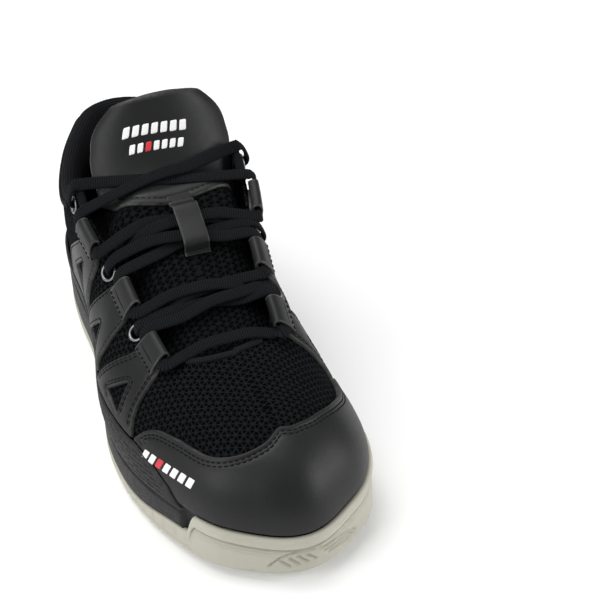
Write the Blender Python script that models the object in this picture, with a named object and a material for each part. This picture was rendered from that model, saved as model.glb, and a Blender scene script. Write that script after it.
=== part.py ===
"""Right-foot indoor court shoe, size EU 42, as an assembly of its real pieces.

Frame: metres, +Z up, toe towards -Y, heel towards +Y, lateral side towards -X.
The origin is at the middle of the footprint on the floor. Lengths below are in millimetres
until an object is made.

The upper is one lasted surface. A point on it has t (0 at the heel tip, 1 at the toe tip) and
k (-1 on the lateral feather line, where the upper meets the sole, 0 on the ridge over the foot,
+1 on the medial feather line). Every panel is a region of that surface with its own depth.
"""

import math

import bmesh
import bpy
import numpy as np
from mathutils import Matrix, Vector
from mathutils.geometry import delaunay_2d_cdt

# --- driving dimensions ---------------------------------------------------------------------
MM = 0.001
HALF_LENGTH = 148.0
FEATHER_INSET = 3.5
GAP = 0.4
FACET = 8.0

# y, lateral x, medial x of the sole's widest outline
OUTLINE = (
    (148, -2, -2), (133, -30, 25.5), (109, -40.5, 35.5), (79, -43.5, 39), (44, -44, 37),
    (5, -48.5, 39.5), (-30, -55, 46.5), (-55, -55, 53), (-80, -51, 57), (-105, -42, 54.5),
    (-126, -30.5, 44.5), (-140, -13.5, 28), (-148, 8, 8),
)
# y, feather z, ridge z, ridge x, lateral and medial fullness, lateral and medial flare, bulge
SECTIONS = (
    (148, 31, 122, -2, 4.5, 4.5, -5, 5, 1.0),
    (129, 30.5, 123.2, -1.5, 4.8, 4.8, -11, 4, 1.3),
    (110, 30, 124, -1, 5.0, 5.0, -9, 5, 1.5),
    (80, 29, 122, 0, 5.5, 5.5, 1, 14, 1.5),
    (45, 28, 117, 2, 5.5, 5.5, 2, 21, 1.5),
    (26, 27, 107, 3, 3.8, 5.2, 0, 17, 1.5),
    (8, 26, 96, 4, 2.7, 4.8, 0, 11, 2.0),
    (-12, 25, 86, 4, 2.2, 4.6, 0, 4, 2.0),
    (-30, 24, 78, 4, 2.0, 4.0, 0, 0, 2.0),
    (-46, 23.3, 72, 5, 2.0, 2.9, 0, -1, 1.8),
    (-62, 24, 67.5, 6, 2.15, 2.2, 0, -2, 1.0),
    (-84, 26.5, 64, 7, 2.25, 2.0, 0, -3, 0.0),
    (-120, 27.5, 62.6, 8, 2.2, 2.05, 0, -1, 0.0),
    (-148, 26, 62, 8, 2.1, 2.1, 0, 0, 0.0),
)
TOE_FAN, TOE_RIDGE_END = -60.0, -98.0
HEEL_FAN, HEEL_RIDGE_END = 95.0, 113.0
HEEL_CURVE = ((0, 0), (30, 0), (45, 1.5), (62, 0.0), (80, -3.0), (98, -1.5), (125, 2))

TOE_SPRING, TOE_SPRING_START = 4.5, -75.0
HEEL_RISE, HEEL_RISE_START = 3.0, 125.0
BUMPER_END = {-1: -113.0, 1: -88.0}
STRIP_TOP, OUTSOLE_FLOOR = 7.5, 5.5
BUMPER_WALL = 3.4
BED_DEPTH, BED_INSET = 6.5, 10.0
BOARD_THICK, INSOLE_THICK = 1.5, 4.0
INSOLE_HINGE_Y = -134.5
# y and girth of the midsole's top line, up from the feather line
MIDSOLE_TOP = {
    -1: ((-108.5, 0.0), (-102, 5.5), (-90, 10.5), (-75, 14), (-50, 15), (-30, 14), (-10, 12),
         (20, 9.5), (60, 7), (100, 6), (148, 6)),
    1: ((-83.5, 0.0), (-75, 2), (-50, 4), (0, 5), (60, 6), (100, 6), (148, 6)),
}

MESH_THICK = 1.6
LEATHER_LOW, LEATHER_HIGH = 0.7, 1.9
STIFFENER_HIGH, STIFFENER_LOW = -2.2, -3.4
TONGUE_THICK = 6.0
LACE_RADIUS = 1.2
LOOP_LENGTH, LOOP_WIDTH, LOOP_HEIGHT, LOOP_WALL = 17.0, 13.0, 5.2, 1.1
EYELET_FLANGE, EYELET_BARREL, EYELET_BORE = 4.7, 3.7, 3.2

# y and girth of the loops and eyelets, front to rear
LOOPS = {
    -1: ((-45, 51), (-11, 55.5), (26, 63)),
    1: ((-44, 50), (-13, 58), (20, 67)),
}
EYELETS = {
    -1: ((-28, 50), (8, 56), (47, 69)),
    1: ((-30, 48), (5, 54), (44, 74)),
}
# y and girth along the edge of the throat, from its front centre to the collar
THROAT = {
    -1: ((-63, 80), (-62, 69), (-58, 59.5), (-50, 54.5), (-40, 55), (-28, 56.5), (-11, 58),
         (8, 62.5), (26, 67), (38, 72), (47, 77)),
    1: ((-63, 80), (-62, 71), (-58, 58.5), (-51.5, 53.5), (-43, 53), (-31, 55.5), (-13, 60),
        (5, 63.5), (20, 69), (34, 76), (45, 82)),
}
# y and girth along the collar's rim, from the throat to the heel
RIM = {
    -1: ((47, 77), (52, 74), (60, 63), (78, 57), (95, 58.5), (115, 63), (136, 67), (148, 67)),
    1: ((45, 82), (52, 79), (61, 68), (78, 61), (95, 61), (115, 64), (136, 67), (148, 67)),
}
SEAM_Y = -8.0
# how high each half of the lace rides where the halves cross, front to rear
LACE_REST, LACE_OVER, LACE_UNDER = 2.2, (3.0, 0.0, 3.0), (0.0, 3.0, 0.0)
LACE_REAR, BAR_RISE = 40.0, 4.0
# y and girth of the lace's tails, hanging inside the quarters
TAIL = {
    -1: ((46, 60), (45, 50), (43.5, 39), (42, 29)),
    1: ((43, 64), (42, 52), (41, 40), (40, 29)),
}
TAIL_DEPTH, AGLET_LENGTH, AGLET_RADIUS = 4.0, 13.0, 1.3

CHARCOAL, BLACK, GREY = (0.045, 0.046, 0.05), (0.02, 0.02, 0.022), (0.50, 0.49, 0.43)
MESH_BLACK, STEEL, FOAM = (0.018, 0.02, 0.022), (0.62, 0.63, 0.65), (0.35, 0.35, 0.33)
BOARD = (0.55, 0.50, 0.40)


# --- the lasted surface ---------------------------------------------------------------------
def smooth(table, x, column):
    """Cubic Hermite curve through one column of a table whose first column is monotonic."""
    xs = np.array([row[0] for row in table], float)
    ys = np.array([row[column] for row in table], float)
    if xs[0] > xs[-1]:
        xs, ys = xs[::-1], ys[::-1]
    slopes = np.gradient(ys, xs)
    x = np.clip(x, xs[0], xs[-1])
    i = np.clip(np.searchsorted(xs, x) - 1, 0, len(xs) - 2)
    h = xs[i + 1] - xs[i]
    s = (x - xs[i]) / h
    return ((1 + 2 * s) * (1 - s) ** 2 * ys[i] + s * (1 - s) ** 2 * h * slopes[i]
            + s * s * (3 - 2 * s) * ys[i + 1] + s * s * (s - 1) * h * slopes[i + 1])


def ease(x, start, end):
    """0 before start, 1 after end, and smooth between."""
    s = np.clip((np.asarray(x, float) - start) / (end - start), 0, 1)
    return s * s * (3 - 2 * s)


def t_at(y):
    return np.arccos(np.clip(np.asarray(y, float) / HALF_LENGTH, -1, 1)) / math.pi


def y_at(t):
    t = np.asarray(t, float)
    return HALF_LENGTH * np.cos(math.pi * np.where(t > 1, 2 - t, np.abs(t)))


OUTLINE_BY_T = tuple((float(t_at(y)), lateral, medial) for y, lateral, medial in OUTLINE)


def outline_raw(t, side):
    """The outline's x and y; past a tip it carries on along the other side."""
    past = (t < 0) | (t > 1)
    folded = np.where(t < 0, -t, np.where(t > 1, 2 - t, t))
    own, other = (1, 2) if side < 0 else (2, 1)
    x = np.where(past, smooth(OUTLINE_BY_T, folded, other), smooth(OUTLINE_BY_T, folded, own))
    return x, y_at(folded)


def outline(t, side, inset=0.0):
    """The outline at t, moved in by inset along its own normal."""
    t = np.asarray(t, float)
    x, y = outline_raw(t, side)
    step = 2e-3
    x0, y0 = outline_raw(t - step, side)
    x1, y1 = outline_raw(t + step, side)
    length = np.hypot(x1 - x0, y1 - y0)
    return x + side * inset * (y1 - y0) / length, y - side * inset * (x1 - x0) / length


def ridge_y(y):
    """Where the ridge point of a section lies: sections fan out round the toe and the heel."""
    y = np.asarray(y, float)
    toe_span, toe_run = HALF_LENGTH + TOE_FAN, TOE_FAN - TOE_RIDGE_END
    heel_span, heel_run = HALF_LENGTH - HEEL_FAN, HEEL_RIDGE_END - HEEL_FAN
    p = np.clip((TOE_FAN - y) / toe_span, 0, 1)
    q = np.clip((y - HEEL_FAN) / heel_span, 0, 1)
    toe = TOE_FAN - toe_run * (1 - (1 - p) ** (toe_span / toe_run))
    heel = HEEL_FAN + heel_run * (1 - (1 - q) ** (heel_span / heel_run))
    return np.where(y < TOE_FAN, toe, np.where(y > HEEL_FAN, heel, y))


def section_point(t, g):
    """Point of the lasted surface at t and section angle g (-1 lateral, 0 ridge, 1 medial)."""
    side = np.where(g < 0, -1, 1)
    xl, yl = outline(t, -1, FEATHER_INSET)
    xm, ym = outline(t, 1, FEATHER_INSET)
    foot_x, foot_y = np.where(side < 0, xl, xm), np.where(side < 0, yl, ym)
    y = y_at(t)
    foot_z, ridge_z, ridge_x = (smooth(SECTIONS, y, column) for column in (1, 2, 3))
    full = np.where(side < 0, smooth(SECTIONS, y, 4), smooth(SECTIONS, y, 5))
    flare = np.where(side < 0, smooth(SECTIONS, y, 6), smooth(SECTIONS, y, 7))
    bulge = smooth(SECTIONS, y, 8) / 45
    angle = np.abs(g) * math.pi / 2
    out = np.sin(angle) ** (2 / full)
    up = np.abs(np.cos(angle)) ** (2 / full)
    out = out + bulge * np.sin(math.pi * np.clip(up, 0, 1)) * (1 - up) * 2
    x = ridge_x + out * (foot_x - ridge_x) + side * flare * np.clip(out, 0, 1) * up ** 1.5
    spine = ridge_y(y)
    py = spine + out * (foot_y - spine)
    z = foot_z + (ridge_z - foot_z) * up
    heights, shifts = zip(*HEEL_CURVE)
    py = py + ease(py, 90, 149) * np.interp(z, heights, shifts)
    return np.stack([x, py, z], -1)


def section_angles():
    """Angles g on a grid of t and k, so that k runs evenly along each section, and half girths."""
    ts, fine = np.linspace(0, 1, 201), np.linspace(0, 1, 241)
    fractions = np.linspace(0, 1, 81)
    angles, girths = {}, {}
    for side in (-1, 1):
        points = section_point(ts[:, None], side * np.maximum(fine[::-1], 1e-6)[None, :])
        runs = np.concatenate([np.zeros((len(ts), 1)),
                               np.cumsum(np.linalg.norm(np.diff(points, axis=1), axis=-1), 1)], 1)
        girths[side] = runs[:, -1]
        angles[side] = np.array([np.interp(fractions * run[-1], run, fine[::-1]) for run in runs])
    return ts, fractions, angles, girths


TS, FRACTIONS, ANGLES, GIRTHS = section_angles()


def angle_at(t, k):
    """Section angle g at t for the even coordinate k, read from the grid."""
    folded = np.clip(np.where(t > 1, 2 - t, np.abs(t)), 0, 1)
    column = (1 - np.abs(k)) * (len(FRACTIONS) - 1)
    row = folded * (len(TS) - 1)
    r0 = np.clip(row.astype(int), 0, len(TS) - 2)
    c0 = np.clip(column.astype(int), 0, len(FRACTIONS) - 2)
    fr, fc = row - r0, column - c0
    g = np.zeros_like(row)
    for side in (-1, 1):
        table = ANGLES[side]
        value = ((1 - fr) * ((1 - fc) * table[r0, c0] + fc * table[r0, c0 + 1])
                 + fr * ((1 - fc) * table[r0 + 1, c0] + fc * table[r0 + 1, c0 + 1]))
        g = np.where((k < 0) == (side < 0), side * value, g)
    return g


def surface(t, k, depth=0.0):
    """Point on the upper at t and k, moved out along the normal by depth."""
    t, k, depth = np.broadcast_arrays(np.asarray(t, float), np.asarray(k, float),
                                      np.asarray(depth, float))
    g = angle_at(t, k)
    step = 1e-3
    near = np.clip(g, -1 + step, 1 - step)
    along = section_point(t + step, g) - section_point(t - step, g)
    across = section_point(t, near + step) - section_point(t, near - step)
    normal = np.cross(along, across)
    normal /= np.maximum(np.linalg.norm(normal, axis=-1, keepdims=True), 1e-9)
    return section_point(t, g) + normal * depth[..., None]


def k_at(t, side, girth):
    """Coordinate k this many millimetres of girth up from the feather line."""
    half = np.interp(np.clip(t, 0, 1), TS, GIRTHS[side])
    return side * np.clip(1 - np.asarray(girth, float) / half, 0, 1)


def girth_at(t, k):
    half = np.where(np.asarray(k) < 0, np.interp(t, TS, GIRTHS[-1]), np.interp(t, TS, GIRTHS[1]))
    return (1 - np.abs(k)) * half


def chart(side, corners):
    """(t, k) of points given as y of the section and girth."""
    y, girth = np.array(corners, float).T
    t = t_at(y)
    return np.column_stack([t, k_at(t, side, girth)])


def frame_at(side, y, girth, depth=0.0):
    """Point on the upper with its normal, its rearward direction and its inward direction."""
    t, k = chart(side, [(y, girth)])[0]
    here = surface(t, k, depth)
    normal = surface(t, k, 1.0) - surface(t, k, 0.0)
    back = surface(t - 0.004, k) - surface(t + 0.004, k)
    back = back - normal * back.dot(normal)
    back /= np.linalg.norm(back)
    inward = np.cross(back, normal) * side * -1
    if inward[0] * side > 0:
        inward = -inward
    return here, normal, back, inward


# --- making objects -------------------------------------------------------------------------
def clear_scene():
    for obj in list(bpy.data.objects):
        bpy.data.objects.remove(obj, do_unlink=True)


def material(name, colour, roughness=0.6, metallic=0.0):
    made = bpy.data.materials.new(name)
    made.use_nodes = True
    shader = made.node_tree.nodes["Principled BSDF"]
    shader.inputs["Base Color"].default_value = (*colour, 1.0)
    shader.inputs["Roughness"].default_value = roughness
    shader.inputs["Metallic"].default_value = metallic
    made.diffuse_color = (*colour, 1.0)
    return made


def add_object(name, points, faces, finish, smooth_faces=False, origin=(0, 0, 0)):
    """A mesh object from points in millimetres, with its origin at a point in millimetres."""
    mesh = bpy.data.meshes.new(name)
    shifted = (np.asarray(points, float) - np.asarray(origin, float)) * MM
    mesh.from_pydata(shifted.tolist(), [], [list(map(int, face)) for face in faces])
    work = bmesh.new()
    work.from_mesh(mesh)
    bmesh.ops.remove_doubles(work, verts=work.verts, dist=1e-6)
    bmesh.ops.recalc_face_normals(work, faces=work.faces)
    if work.calc_volume(signed=True) < 0:
        bmesh.ops.reverse_faces(work, faces=work.faces)
    work.to_mesh(mesh)
    work.free()
    mesh.materials.append(material(name, *finish))
    if smooth_faces:
        mesh.shade_smooth()
    obj = bpy.data.objects.new(name, mesh)
    obj.location = Vector(origin) * MM
    bpy.context.collection.objects.link(obj)
    return obj


def walk(points, step, closed=False):
    """A line through points, cut into even steps no longer than step."""
    points = [np.asarray(p, float) for p in points]
    ends = points[1:] + points[:1] if closed else points[1:]
    out = []
    for a, b in zip(points, ends):
        count = max(1, math.ceil(np.linalg.norm(b - a) / step))
        out += [a + (b - a) * i / count for i in range(count)]
    return np.array(out if closed else out + [points[-1]])


def curve_walk(points, step):
    """A smooth curve through points (Catmull-Rom), cut into steps of about step."""
    p = np.array(points, float)
    p = np.vstack([2 * p[0] - p[1], p, 2 * p[-1] - p[-2]])
    out = []
    for a, b, c, d in zip(p, p[1:], p[2:], p[3:]):
        count = max(1, round(np.linalg.norm(c - b) / step))
        s = np.arange(count)[:, None] / count
        out.append(0.5 * (2 * b + (c - a) * s + (2 * a - 5 * b + 4 * c - d) * s ** 2
                          + (3 * b - a - 3 * c + d) * s ** 3))
    return np.vstack(out + [p[-2][None, :]])


CHART_SCALE = np.array([330.0, 105.0])


def inside(points, loop):
    """Which points lie inside a closed loop."""
    x, y = points[:, 0][:, None], points[:, 1][:, None]
    x0, y0 = loop[:, 0][None, :], loop[:, 1][None, :]
    x1, y1 = np.roll(loop, -1, 0)[:, 0][None, :], np.roll(loop, -1, 0)[:, 1][None, :]
    crosses = ((y0 > y) != (y1 > y)) & (x < (x1 - x0) * (y - y0) / (y1 - y0 + 1e-12) + x0)
    return crosses.sum(1) % 2 == 1


def clear_of(points, loop, distance):
    """Which points are at least distance from a closed loop."""
    a, b = loop[None, :, :], np.roll(loop, -1, 0)[None, :, :]
    p = points[:, None, :]
    run = b - a
    s = np.clip(((p - a) * run).sum(-1) / np.maximum((run ** 2).sum(-1), 1e-12), 0, 1)
    return np.linalg.norm(p - a - run * s[..., None], axis=-1).min(1) > distance


def fill(loops, step=FACET):
    """Triangles over a region of the (t, k) chart: the first loop is its edge, the rest holes."""
    flat = [np.asarray(loop, float) * CHART_SCALE for loop in loops]
    low, high = flat[0].min(0), flat[0].max(0)
    rows = np.arange(low[0] + step / 2, high[0], step * 0.9)
    seeds = [(x, y) for i, x in enumerate(rows)
             for y in np.arange(low[1] + step / 2 * (i % 2), high[1], step)]
    seeds = np.array(seeds).reshape(-1, 2)
    keep = inside(seeds, flat[0]) & clear_of(seeds, flat[0], step * 0.55)
    for hole in flat[1:]:
        keep &= ~inside(seeds, hole) & clear_of(seeds, hole, step * 0.55)
    points, edges = [], []
    for loop in flat:
        first = len(points)
        points += list(loop)
        edges += [(first + i, first + (i + 1) % len(loop)) for i in range(len(loop))]
    points += list(seeds[keep])
    found = delaunay_2d_cdt([Vector(p) for p in points], edges, [], 0, 1e-6)
    flat_points, faces = np.array([list(p) for p in found[0]]), np.array(found[2])
    middles = flat_points[faces].mean(1)
    keep = inside(middles, flat[0])
    for hole in flat[1:]:
        keep &= ~inside(middles, hole)
    return flat_points / CHART_SCALE, faces[keep]


def shell(name, chart_points, faces, low, high, finish):
    """A panel of the upper between two depths, each a number or a function of t and k."""
    t, k = chart_points.T
    top = surface(t, k, high(t, k) if callable(high) else high)
    bottom = surface(t, k, low(t, k) if callable(low) else low)
    keys, index = np.unique(np.round(surface(t, k), 2), axis=0, return_inverse=True)
    index = index.reshape(-1)
    first = np.zeros(len(keys), int)
    first[index] = np.arange(len(index))
    top, bottom = top[first], bottom[first]
    faces = index[faces]
    faces = faces[(faces[:, 0] != faces[:, 1]) & (faces[:, 1] != faces[:, 2])
                  & (faces[:, 0] != faces[:, 2])]
    ends = np.concatenate([faces[:, [0, 1]], faces[:, [1, 2]], faces[:, [2, 0]]])
    _, place, count = np.unique(np.sort(ends, 1), axis=0, return_index=True, return_counts=True)
    rim = ends[place[count == 1]]
    n = len(top)
    walls = [(b, a, a + n, b + n) for a, b in rim]
    all_faces = [tuple(f) for f in faces] + [tuple(f[::-1] + n) for f in faces] + walls
    return add_object(name, np.vstack([top, bottom]), all_faces, finish, smooth_faces=True)


def panel(name, side, corners, low, high, finish, holes=(), step=FACET):
    """A leather overlay: its outline and its windows in y and girth on one side."""
    loops = [chart(side, walk(corners, step, closed=True))]
    loops += [chart(side, walk(hole, step, closed=True)) for hole in holes]
    return shell(name, *fill(loops, step), low, high, finish)


def hole_round(side, y, girth, radius, count=10):
    """A round hole in the upper, as a loop of the chart."""
    here, _, back, inward = frame_at(side, y, girth)
    t, k = chart(side, [(y, girth)])[0]
    step = 1e-3
    along = surface(t + step, k) - surface(t - step, k)
    across = surface(t, k + step) - surface(t, k - step)
    solve = np.linalg.pinv(np.column_stack([along, across]) / (2 * step))
    loop = []
    for i in range(count):
        turn = 2 * math.pi * i / count
        offset = radius * (math.cos(turn) * back + math.sin(turn) * inward)
        loop.append(np.array([t, k]) + solve @ offset)
    return np.array(loop)


def stack(name, rings, finish, smooth_faces=True):
    """A solid from closed rings of equal counts: walls between them, and its two ends filled."""
    count = len(rings[0])
    half = count // 2
    faces = []
    for r in range(len(rings) - 1):
        for i in range(count):
            j = (i + 1) % count
            faces.append((r * count + i, r * count + j, (r + 1) * count + j, (r + 1) * count + i))
    for r in (0, len(rings) - 1):
        base = r * count
        for i in range(half):
            a, b = i, i + 1
            c, d = (count - i - 1) % count, (count - i) % count
            faces.append(tuple(base + v for v in dict.fromkeys((a, b, c, d))))
    return add_object(name, np.vstack(rings), faces, finish, smooth_faces)


def stations():
    """Values of t down the sole, closer together round the tips and where the bumper ends."""
    steps = list(np.linspace(0, 1, 27))
    for side in (-1, 1):
        end = BUMPER_END[side]
        steps += [float(t_at(end + shift)) for shift in (-1.5, 0.5, 2.0, 3.5)]
    steps = sorted(steps)
    kept = [steps[0]]
    for t in steps[1:]:
        if t - kept[-1] > 0.0035:
            kept.append(t)
    return np.array(kept)


STATIONS = stations()


def ring(point_at):
    """A closed ring of points: up the lateral side from heel to toe and back down the medial."""
    lateral = [point_at(t, -1) for t in STATIONS]
    medial = [point_at(t, 1) for t in STATIONS[-2:0:-1]]
    return np.array(lateral + medial)


def sole_ring(inset, height):
    """A ring at an inset from the outline, at a height that is a function of y and side."""
    def point_at(t, side):
        x, y = outline(t, side, inset)
        return (float(x), float(y), float(height(float(y_at(t)), side)))
    return ring(point_at)


def tube(name, points, radius, finish, resolution=2):
    """A round cord or piping along points in millimetres."""
    data = bpy.data.curves.new(name, "CURVE")
    data.dimensions = "3D"
    data.bevel_depth = radius * MM
    data.bevel_resolution = resolution
    data.use_fill_caps = True
    spline = data.splines.new("POLY")
    spline.points.add(len(points) - 1)
    for vertex, point in zip(spline.points, points):
        vertex.co = (*(np.asarray(point) * MM), 1.0)
    data.materials.append(material(name, *finish))
    obj = bpy.data.objects.new(name, data)
    bpy.context.collection.objects.link(obj)
    return obj


# --- sole -----------------------------------------------------------------------------------
def sole_z(y):
    """Underside of the sole: flat, with toe spring and a small heel rise."""
    toe = np.clip((TOE_SPRING_START - y) / (HALF_LENGTH + TOE_SPRING_START), 0, 1)
    heel = np.clip((y - HEEL_RISE_START) / (HALF_LENGTH - HEEL_RISE_START), 0, 1)
    return TOE_SPRING * toe ** 2 + HEEL_RISE * heel ** 2


def feather_z(y):
    return float(smooth(SECTIONS, y, 1))


def bed_z(y):
    return feather_z(y) - BED_DEPTH


def bumper(y, side):
    """1 where the toe bumper wraps the sole, 0 behind it."""
    return 1 - float(ease(y, BUMPER_END[side] - 1.5, BUMPER_END[side] + 0.5))


def wall_top(y, side):
    raised = bumper(y, side)
    return raised * (feather_z(y) - 0.2) + (1 - raised) * (sole_z(y) + STRIP_TOP)


def make_outsole():
    """Rubber cupsole: flat tread, a low strip at the sides and a tall bumper round the toe."""
    rings = [
        sole_ring(7.0, lambda y, side: sole_z(y)),
        sole_ring(2.8, lambda y, side: sole_z(y) + 0.7),
        sole_ring(0.9, lambda y, side: sole_z(y) + 2.6),
        sole_ring(0.2, lambda y, side: sole_z(y) * 0.5 + wall_top(y, side) * 0.5),
        sole_ring(0.8, wall_top),
        sole_ring(BUMPER_WALL, wall_top),
        sole_ring(BUMPER_WALL + 0.2, lambda y, side: sole_z(y) + OUTSOLE_FLOOR),
    ]
    return stack("outsole", rings, (GREY, 0.55))


def midsole_girth(y, side):
    ys, tops = zip(*MIDSOLE_TOP[side])
    return float(np.interp(y, ys, tops))


def midsole_ring(inset, height, lip=None):
    """A ring of the midsole: inside the bumper at the toe, flared out over the strip behind."""
    def point_at(t, side):
        y = float(y_at(t))
        raised = float(1 - ease(y, BUMPER_END[side] + 1.8, BUMPER_END[side] + 4.0))
        tuck_inset = BUMPER_WALL + 0.6 + 0.12 * inset
        tuck_z = min(height(y), feather_z(y) - 0.6)
        if lip is None:
            x, py = outline(t, side, inset)
            free = np.array([x, py, height(y)])
        else:
            girth, depth = lip
            k = k_at(t, side, max(0.5, midsole_girth(y, side) * girth))
            free = surface(t, k, depth)
            tuck_z = feather_z(y) - 0.6 + 0.05 * inset
        x, py = outline(t, side, tuck_inset)
        return raised * np.array([x, py, tuck_z]) + (1 - raised) * free
    return ring(point_at)


def bed_ring(inset, height):
    return sole_ring(inset, lambda y, side: height(y))


def make_midsole():
    """Foam midsole: it sits in the cupsole, wraps the foot of the upper and holds the footbed."""
    base = BUMPER_WALL + 0.7

    def floor(y):
        return sole_z(y) + OUTSOLE_FLOOR + GAP

    def strip(y):
        return sole_z(y) + STRIP_TOP + GAP

    rings = [
        bed_ring(base + 0.4, floor),
        bed_ring(base, strip),
        midsole_ring(1.0, lambda y: strip(y) + 0.3),
        midsole_ring(1.6, lambda y: feather_z(y) - 3),
        midsole_ring(2.2, feather_z, lip=(0.5, 2.5)),
        midsole_ring(3.2, feather_z, lip=(1.0, 2.2)),
        midsole_ring(6.0, feather_z, lip=(1.0, 0.9)),
        midsole_ring(7.5, feather_z, lip=(0.5, 1.0)),
        midsole_ring(9.0, feather_z, lip=(0.05, 0.9)),
        bed_ring(5.6, lambda y: feather_z(y) - 0.4),
        bed_ring(BED_INSET - 0.4, lambda y: feather_z(y) - 0.4),
        bed_ring(BED_INSET, bed_z),
    ]
    midsole = stack("midsole", rings, (BLACK, 0.7))
    pocket = slab("shank_pocket", -24, 72, 13.5, -2.0, 1.0, (BLACK, 0.7))
    pocket.hide_render = True
    pocket.display_type = "WIRE"
    cut = midsole.modifiers.new("shank_pocket", "BOOLEAN")
    cut.operation = "DIFFERENCE"
    cut.object = pocket
    return midsole


def slab(name, y_low, y_high, half_width, bottom, top, finish):
    """A strip along the footbed, between two heights above it."""
    ys = np.linspace(y_low, y_high, 7)
    points = [(x - 3, y, bed_z(y) + rise) for y in ys
              for x, rise in ((-half_width, bottom), (half_width, bottom),
                              (half_width, top), (-half_width, top))]
    faces = [(4 * i + a, 4 * i + (a + 1) % 4, 4 * i + 4 + (a + 1) % 4, 4 * i + 4 + a)
             for i in range(len(ys) - 1) for a in range(4)]
    faces += [(0, 1, 2, 3), tuple(4 * (len(ys) - 1) + a for a in range(4))]
    return add_object(name, points, faces, finish)


def make_footbed():
    """The shank in its pocket, the lasting board over it and the removable insole on top."""
    slab("shank", -23.5, 71.5, 13.0, -1.6, -0.3, (STEEL, 0.35, 1.0))
    board = BED_INSET + 0.6
    stack("lasting_board", [
        bed_ring(board, lambda y: bed_z(y) + 0.3),
        bed_ring(board, lambda y: bed_z(y) + 0.3 + BOARD_THICK),
    ], (BOARD, 0.9), smooth_faces=False)
    low = 0.3 + BOARD_THICK + 0.3
    insole = stack("insole", [
        bed_ring(board + 1.4, lambda y: bed_z(y) + low),
        bed_ring(board + 0.6, lambda y: bed_z(y) + low + 1.2),
        bed_ring(board + 0.8, lambda y: bed_z(y) + low + INSOLE_THICK - 0.6),
        bed_ring(board + 2.6, lambda y: bed_z(y) + low + INSOLE_THICK),
    ], (CHARCOAL, 0.9))
    move_origin(insole, (9.0, INSOLE_HINGE_Y, bed_z(INSOLE_HINGE_Y) + low + 0.2))


def move_origin(obj, origin):
    """Puts an object's origin on its joint's axis without moving its shape."""
    shift = Vector(origin) * MM - obj.location
    obj.data.transform(Matrix.Translation(-shift))
    obj.location = obj.location + shift


# --- upper ----------------------------------------------------------------------------------
def throat_line(side, inset=0.0):
    """Edge of the throat from the front centre back to the collar, in y and girth."""
    points = curve_walk(THROAT[side], 6.0)
    return np.column_stack([points[:, 0] - inset * 0.5 * (points[:, 0] < -56),
                            points[:, 1] - inset])


def rim_line(side, drop=0.0):
    points = curve_walk(RIM[side], 7.0)
    return np.column_stack([points[:, 0], points[:, 1] - drop])


def eyelet_holes(side, which):
    return [hole_round(side, *EYELETS[side][i], EYELET_BARREL + 0.5) for i in which]


BASE_GIRTH = 1.3


def make_vamp():
    """Knitted vamp: over the toe and up both sides of the throat as far as the side seams."""
    toe = np.column_stack([np.ones(25), np.linspace(-1, 1, 25)])
    toe[:, 1] *= abs(float(k_at(1.0, 1, BASE_GIRTH)))
    edges = []
    for side in (-1, 1):
        throat = throat_line(side)
        throat = throat[throat[:, 0] <= SEAM_Y]
        foot_ys = HALF_LENGTH * np.cos(math.pi * np.linspace(float(t_at(SEAM_Y)), 1, 30))
        foot = chart(side, [(y, BASE_GIRTH) for y in foot_ys[:-1]])
        seam_top = float(np.interp(SEAM_Y, throat_line(side)[:, 0], throat_line(side)[:, 1]))
        seam = chart(side, walk([(SEAM_Y, BASE_GIRTH), (SEAM_Y, seam_top)], FACET))[1:]
        edges.append((foot, seam, chart(side, throat)))
    (foot_l, seam_l, throat_l), (foot_m, seam_m, throat_m) = edges
    loop = np.vstack([foot_l, toe, foot_m[::-1], seam_m, throat_m[::-1], throat_l[1:],
                      seam_l[::-1]])
    holes = eyelet_holes(-1, (0,)) + eyelet_holes(1, (0,))
    shell("vamp_mesh", *fill([loop] + holes, 9.0), -MESH_THICK, 0.0,
          (MESH_BLACK, 0.95))


def make_quarter(side, name):
    """Knitted quarter from the side seam to the back seam, up to the throat and the collar."""
    front, back = SEAM_Y + 0.5, float(y_at(0.006))
    throat = throat_line(side)
    top = float(np.interp(front, throat[:, 0], throat[:, 1]))
    throat = throat[throat[:, 0] > front + 1]
    rim = rim_line(side)
    rim = rim[(rim[:, 0] < back - 0.05)][1:]
    rim_end = (back, RIM[side][-1][1])
    foot_ys = HALF_LENGTH * np.cos(math.pi * np.linspace(0.006, float(t_at(front)), 30))
    corners = np.vstack([[(front, top)], throat, rim, [rim_end],
                         walk([rim_end, (back, BASE_GIRTH)], FACET)[1:],
                         [(y, BASE_GIRTH) for y in foot_ys[1:]],
                         walk([(front, BASE_GIRTH), (front, top)], FACET)[1:-1]])
    holes = eyelet_holes(side, (1, 2))
    shell(name, *fill([chart(side, corners)] + holes), -MESH_THICK, 0.0, (MESH_BLACK, 0.95))


def strip_chart(path, low, high, columns):
    """A band of the chart along a path of (side, t), between two girths, as quads."""
    points, faces = [], []
    for side, t in path:
        bottom, top = low(t, side), high(t, side)
        points += [(t, float(k_at(t, side, bottom + (top - bottom) * i / columns)))
                   for i in range(columns + 1)]
    width = columns + 1
    for r in range(len(path) - 1):
        for c in range(columns):
            a = r * width + c
            faces += [(a, a + 1, a + width + 1), (a, a + width + 1, a + width)]
    return np.array(points), np.array(faces)


def round_toe(t_lateral, t_medial, count):
    lateral = [(-1, t) for t in np.linspace(t_lateral, 1, count)]
    return lateral + [(1, t) for t in np.linspace(1, t_medial, count)[1:]]


def round_heel(t_lateral, t_medial, count):
    lateral = [(-1, t) for t in np.linspace(t_lateral, 0, count)]
    return lateral + [(1, t) for t in np.linspace(0, t_medial, count)[1:]]


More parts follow.
